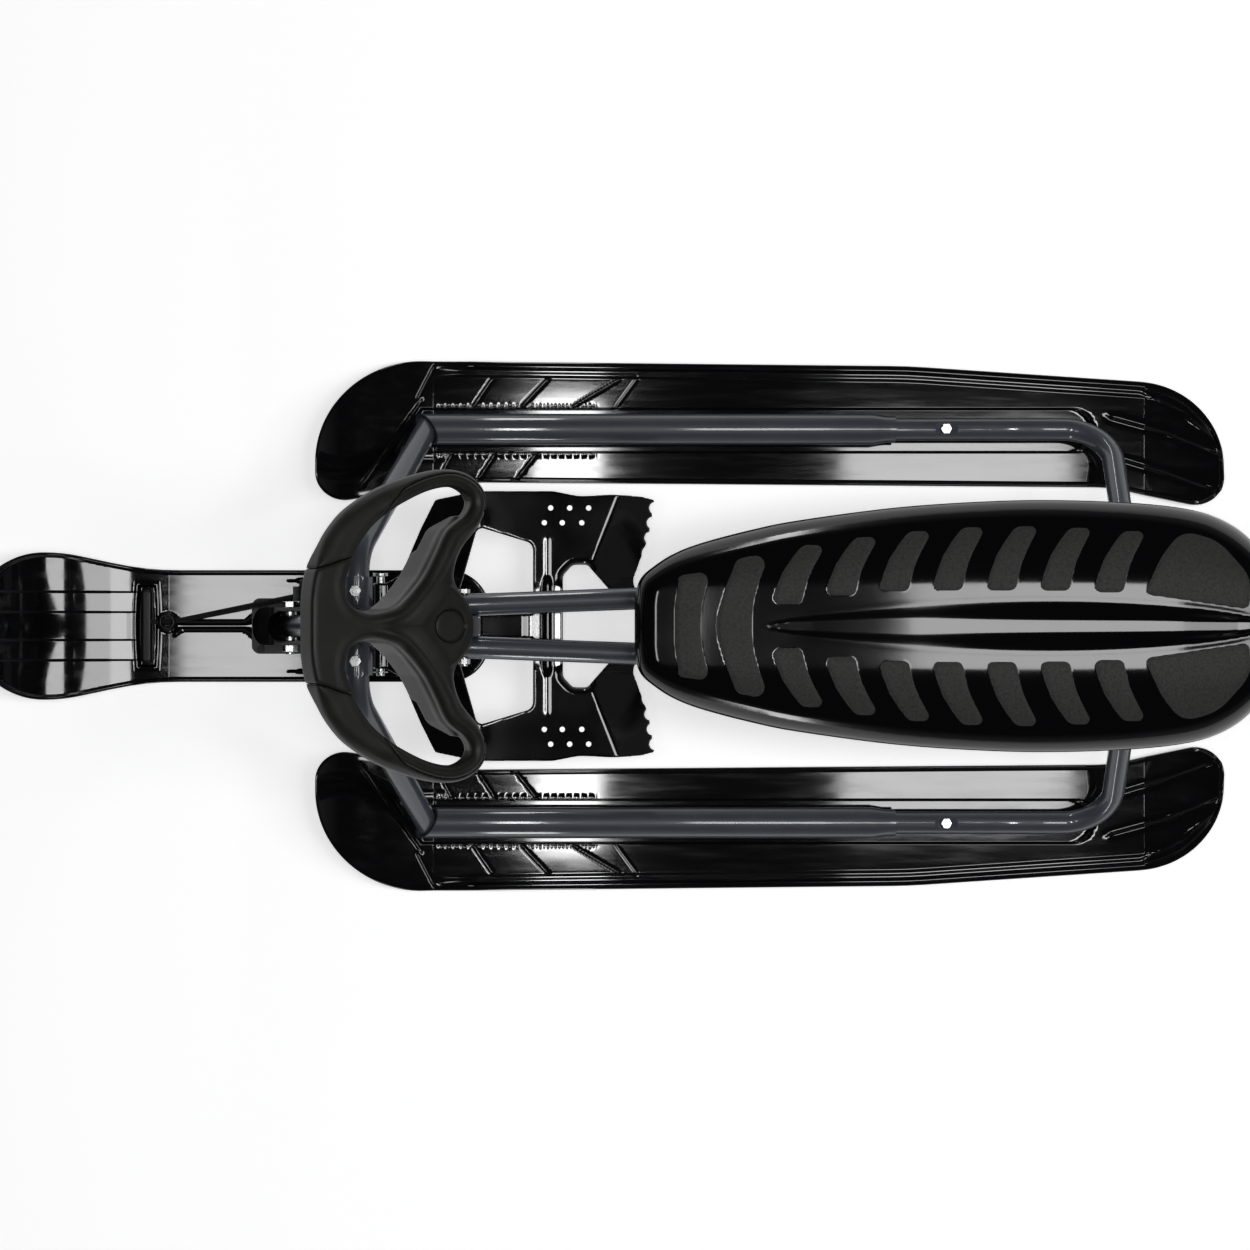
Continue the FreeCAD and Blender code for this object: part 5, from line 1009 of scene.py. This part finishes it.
# Brake plate, in mm: left half in plan, folds and pressings
brake = {
    "sheet": 2.5, "step": 1.1, "footZ": 85.0, "hinge": (213.0, 135.0), "foldX": 124.0, "foldSoft": 1.2,
    "outline": [(196, -8, 1), (196, 20, 1), (207, 22, 2), (207, 40, 2), (194, 48, 4), (176, 92, 4),
                (163, 119, 4), (124, 128.4, 20), (54, 128.4, 30), (28, 123.5, 30), (-3, 125, 8), (-30, 124, 8),
                (-44, 121, 2.5), (-30, 34, 1), (0, 35, 3), (20.5, 58, 6), (34, 58, 9), (43.3, 48, 9),
                (43.3, -8, 1)],
    "window": [(141, 12, 3), (141, 32, 8), (124, 94, 6), (72, 78, 8), (72, 12, 3)],
    "rearFold": ((-6, 116), (15, 62)), "rearFall": 0.80, "footTilt": 0.05,
    "toothLine": ((-44, 121), (-30, 34)), "toothFirst": 7.9, "toothPitch": 14.4, "toothBite": 5.4,
    "toothBack": 1.6, "teeth": 6,
    "bead": (58.0, 84.0), "beadHigh": 2.0, "beadWide": 2.6,
    "pips": [(55, 112), (37, 112), (19, 112), (61, 98), (44, 98), (25.5, 98)], "pipTop": 2.5, "pipFoot": 3.7,
    "pipHigh": 2.0, "pipProud": 0.9,
    "lip": 7.0, "lipDrop": 6.5, "knuckle": (20.0, 40.0, 7.0), "pin": 4.3,
}


def brakeSheet(x, y):
    # Height of the middle of the sheet, and the distance inside its outline in plan
    s = brake
    tilted = np.maximum(smooth(y - 40, 6), smooth(x - 79, 4))
    z = s["footZ"] + s["sheet"] / 2 + s["footTilt"] * (x - s["bead"][0]) * tilted
    hx, hz = s["hinge"]
    slope = (hz - s["footZ"]) / (hx - s["foldX"])
    z = z + softMax(slope * (x - s["foldX"]), 0, s["foldSoft"])
    (ax, ay), (bx, by) = s["rearFold"]
    size = math.hypot(bx - ax, by - ay)
    behind = ((x - ax) * (by - ay) - (y - ay) * (bx - ax)) / size
    z = z - softMax(s["rearFall"] * behind, 0, s["foldSoft"])
    middle, reach = s["bead"]
    along = smooth(reach - y, 3) * (0.12 + 0.88 * smooth(44 - y, 5))
    z = z + ridge(x - middle, s["beadHigh"], s["beadWide"]) * along
    outline = roundedLoop(s["outline"], 6)
    plan = inOutline(outline, x, y, 30)
    plan = np.minimum(plan, -inOutline(roundedLoop(s["window"], 6), x, y, 30))
    arc = outline[(outline[:, 0] > 16) & (outline[:, 0] < 45) & (outline[:, 1] > 30) & (outline[:, 1] < 60)]
    toArc = np.full(x.shape, 1e3)
    for a, b in zip(arc[:-1], arc[1:]):
        toArc = np.minimum(toArc, lineDistance((a, b), x, y))
    z = z - s["lipDrop"] * np.clip(1 - toArc / s["lip"], 0, 1) ** 2 * smooth(y - 36, 10)
    (ax, ay), (bx, by) = s["toothLine"]
    size = math.hypot(bx - ax, by - ay)
    for i in range(s["teeth"]):
        t = (s["toothFirst"] + s["toothPitch"] * i) / size
        gapX, gapY = ax + t * (bx - ax) - s["toothBack"], ay + t * (by - ay)
        plan = np.minimum(plan, np.hypot(x - gapX, y - gapY) - s["toothBite"])
    return z, plan


def pipTree():
    # One flat-topped pip on every point
    sizes = {"Top radius": "Float", "Foot radius": "Float", "Height": "Float"}
    tree, sockets, given = newTree("pressed pips", "Places", sizes, "Pips")
    pip = addNode(tree, "GeometryNodeMeshCone", values={"Vertices": 24}, links={
        "Radius Top": given["Top radius"], "Radius Bottom": given["Foot radius"], "Depth": given["Height"]})
    spread = addNode(tree, "GeometryNodeInstanceOnPoints", links={"Points": given["Places"],
                                                                  "Instance": pip.outputs["Mesh"]})
    closeTree(tree, spread.outputs["Instances"], finishes["brake_paint"], "Pips")
    return tree, sockets


def makePips():
    s = brake
    low = s["footZ"] + s["sheet"] + s["pipProud"] - s["pipHigh"]
    places = []
    for x, y in s["pips"]:
        z = low + s["footTilt"] * (x - s["bead"][0])
        places += [(x * mm, side * y * mm, z * mm) for side in (-1, 1)]
    points = bpy.data.meshes.new("pip_places")
    points.from_pydata(places, [], [])
    tree, sockets = pipTree()
    mesh = grownMesh(newObject("pip_carrier", points), tree, sockets, {
        "Top radius": s["pipTop"] * mm, "Foot radius": s["pipFoot"] * mm, "Height": s["pipHigh"] * mm})
    piece = newObject("pressed_pips", mesh)
    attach(piece, bodyOf["brake_plate"])
    print("pips:", len(places), "with", len(mesh.polygons), "faces")


def makeBrake():
    s = brake
    step = s["step"]
    axes = [np.arange(a, b, step, np.float32) for a, b in ((-50, 224), (-132, 133), (50, 146))]
    x, y = np.meshgrid(axes[0], axes[1], indexing="ij")
    high, plan = brakeSheet(x, np.abs(y))
    dx, dy = np.gradient(high, step)
    steep = np.sqrt(1 + dx ** 2 + dy ** 2)
    z = axes[2][None, None, :]
    field = np.abs(z - high[:, :, None]) / steep[:, :, None] - s["sheet"] / 2
    field = softMax(field, -plan[:, :, None], 0.8)
    near, far, radius = s["knuckle"]
    turn = np.hypot((x - s["hinge"][0])[:, :, None], z - s["hinge"][1])
    knuckle = np.maximum(turn - radius, np.abs(np.abs(y) - (near + far) / 2)[:, :, None] - (far - near) / 2)
    field = np.maximum(softMin(field, knuckle, 2.0), s["pin"] - turn)
    mesh = skin("brake_mesh", field, [axis[0] for axis in axes], step, passes=1)
    dress(mesh, finishes["brake_paint"], "pressed_brake_plate", "brake_plate")
    print("brake:", len(mesh.polygons), "faces")
    makePips()


# Rope eyelet, in mm
eyelet = {"at": (429.0, -4.0), "low": 3.0, "high": 19.5, "round": 9.0, "edge": 3.2, "dish": 5.0,
          "dishLow": 12.0, "bore": 2.9, "step": 0.5}


def makeEyelet():
    s = eyelet
    x0, y0 = s["at"]
    axes = [np.arange(a, b, s["step"]) for a, b in ((x0 - 11, x0 + 11), (y0 - 11, y0 + 11),
                                                    (s["low"] - 2, s["high"] + 2))]
    x, y, z = np.meshgrid(*axes, indexing="ij")
    r = np.hypot(x - x0, y - y0)
    body = roundedSlab(s["round"] - r, z - (s["low"] + s["high"]) / 2, (s["high"] - s["low"]) / 2, s["edge"])
    body = softMax(body, -np.maximum(r - s["dish"], s["dishLow"] - z), 1.6)
    route = [np.array(p) / mm for p in rope["route"]]
    for a, b in zip(route, route[1:]):
        run = b - a
        past = (x - a[0], y - a[1], z - a[2])
        t = np.clip(sum(p * q for p, q in zip(past, run)) / np.dot(run, run), 0, 1)
        away = np.sqrt(sum((p - t * q) ** 2 for p, q in zip(past, run)))
        body = np.maximum(body, s["bore"] - away)
    mesh = skin("eyelet_mesh", body, [axis[0] for axis in axes], s["step"])
    dress(mesh, finishes[slotOf["rope_eyelet"]], "moulded_eyelet", "rope_eyelet")


# Softened copies of the CAD nodes
softEdges = {"mergeM": 2e-6, "flatDeg": 0.6, "bevelMm": 0.7, "segments": 2, "sharpDeg": 32,
             "springStays": (0.2215, 0, 0.1398), "springTurns": (0.2045, 0, 0.1302)}
edgeSizes = {"tube_paint": 0.5, "zinc_steel": 0.45, "black_nylon": 1.0, "brake_paint": 0.8,
             "wheel_plastic": 1.2, "ski_plastic": 1.2, "seat_plastic": 1.5, "grip_rubber": 0.8}
darkScrews = ("bracket_screws", "reel_screws")


def softened(node):
    mesh = frame["nodes"][node].data.copy()
    with editing(mesh) as work:
        bmesh.ops.remove_doubles(work, verts=work.verts, dist=softEdges["mergeM"])
        bmesh.ops.dissolve_limit(work, angle_limit=math.radians(softEdges["flatDeg"]), verts=work.verts,
                                 edges=work.edges)
    mesh.materials.clear()
    mesh.materials.append(finishes["black_zinc" if node in darkScrews else slotOf[node]])
    mesh.shade_smooth()
    mesh.set_sharp_from_angle(angle=math.radians(softEdges["sharpDeg"]))
    piece = newObject("soft_" + node, mesh)
    bevel = piece.modifiers.new("edge", "BEVEL")
    bevel.width = edgeSizes.get(slotOf[node], softEdges["bevelMm"]) * mm
    bevel.segments = softEdges["segments"]
    bevel.limit_method = "ANGLE"
    bevel.angle_limit = math.radians(softEdges["sharpDeg"])
    bevel.harden_normals = True
    final = plainMesh(piece)
    piece.modifiers.clear()
    piece.data = final
    if node == "brake_return_spring":
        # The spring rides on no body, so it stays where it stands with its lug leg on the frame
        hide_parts(node)
        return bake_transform(piece)
    return settle(piece, node)


# Stage: pale floor, soft boxes over it, pale horizon
stage = {"floorM": 30.0, "floorZ": -0.0005, "floorColour": "#f7f7f7", "floorGlow": 0.6, "horizon": "#77777a",
         "zenith": "#2a2a2c", "worldStrength": 1.0}
cameraAt = {"xM": -0.0155, "yM": -0.001, "heightM": 3.2, "lensMm": 94.5}


def pavedFloor():
    bpy.ops.mesh.primitive_plane_add(size=stage["floorM"], location=(0, 0, stage["floorZ"]))
    floor = bpy.context.object
    floor.name = "studio_floor"
    material, tree, shader = newMaterial("white seamless paper")
    shader.inputs["Base Color"].default_value = linear(stage["floorColour"])
    shader.inputs["Roughness"].default_value = 0.9
    shader.inputs["Specular IOR Level"].default_value = 0.0
    path = addNode(tree, "ShaderNodeLightPath")
    seen = addNode(tree, "ShaderNodeMath", {"operation": "ADD"},
                   links={0: path.outputs["Is Camera Ray"], 1: path.outputs["Is Glossy Ray"]})
    seen = addNode(tree, "ShaderNodeMath", {"operation": "ADD", "use_clamp": True},
                   links={0: seen.outputs["Value"], 1: path.outputs["Is Transmission Ray"]})
    glow = addNode(tree, "ShaderNodeMath", {"operation": "MULTIPLY"}, {1: stage["floorGlow"]},
                   {0: seen.outputs["Value"]})
    shader.inputs["Emission Color"].default_value = (1, 1, 1, 1)
    tree.links.new(glow.outputs["Value"], shader.inputs["Emission Strength"])
    floor.data.materials.append(material)


def paleWorld():
    world = bpy.data.worlds.new("studio")
    bpy.context.scene.world = world
    world.use_nodes = True
    tree = world.node_tree
    tree.nodes.clear()
    place = addNode(tree, "ShaderNodeTexCoord")
    split = addNode(tree, "ShaderNodeSeparateXYZ", links={"Vector": place.outputs["Generated"]})
    ramp = addNode(tree, "ShaderNodeValToRGB", links={"Fac": split.outputs["Z"]})
    setStops(ramp, (0.1, 0.45), (stage["horizon"], stage["zenith"]))
    sky = addNode(tree, "ShaderNodeBackground", values={"Strength": stage["worldStrength"]},
                  links={"Color": ramp.outputs["Color"]})
    addNode(tree, "ShaderNodeOutputWorld", links={"Surface": sky.outputs["Background"]})


# Soft boxes: middle, size along and across, turn from facing down, and brightness as seen in a mirror
softBoxes = [
    {"name": "strip_box", "at": (0.098, 0, 3.3), "size": (0.135, 0.88), "radiance": 30.0},
    {"name": "front_box", "at": (0.74, 0, 3.3), "size": (0.25, 0.5), "radiance": 11.0},
    {"name": "rear_box", "at": (-0.67, 0, 3.3), "size": (0.46, 0.78), "radiance": 12.0},
    {"name": "back_box", "at": (-1.52, 0, 3.3), "size": (1.26, 0.44), "radiance": 9.0},
    {"name": "far_box", "at": (-3.15, 0, 3.3), "size": (1.1, 0.5), "radiance": 10.0},
    {"name": "left_strip", "at": (0.098, 2.4, 0.42), "size": (0.16, 0.7), "turnDeg": -90, "radiance": 14.0},
    {"name": "right_strip", "at": (0.098, -2.4, 0.42), "size": (0.16, 0.7), "turnDeg": 90, "radiance": 14.0},
]


def hangBoxes():
    for box in softBoxes:
        lamp = bpy.data.lights.new(box["name"], "AREA")
        lamp.shape = "RECTANGLE"
        lamp.size, lamp.size_y = box["size"]
        lamp.energy = box["radiance"] * math.pi * box["size"][0] * box["size"][1]
        holder = bpy.data.objects.new(box["name"], lamp)
        holder.location = box["at"]
        holder.rotation_euler = (math.radians(box.get("turnDeg", 0)), 0, 0)
        bpy.context.scene.collection.objects.link(holder)


def hangCamera():
    lens = bpy.data.cameras.new("photo_camera")
    lens.lens = cameraAt["lensMm"]
    lens.sensor_width = 36
    lens.clip_end = 100
    holder = bpy.data.objects.new("photo_camera", lens)
    holder.location = (cameraAt["xM"], cameraAt["yM"], cameraAt["heightM"])
    holder.rotation_euler = (0, 0, math.pi)
    bpy.context.scene.collection.objects.link(holder)
    bpy.context.scene.camera = holder


hangCamera()
makeRope()
makeRearSkis()
makeFrontSki()
makeSeat()
makeWheel()
makeBrake()
makeEyelet()
plain = [node for node in frame["nodes"] if node not in made]
for node in plain:
    softened(node)
print("CAD nodes softened:", len(plain))
pavedFloor()
paleWorld()
hangBoxes()
bpy.context.scene.view_settings.view_transform = "Standard"
print("stage set")
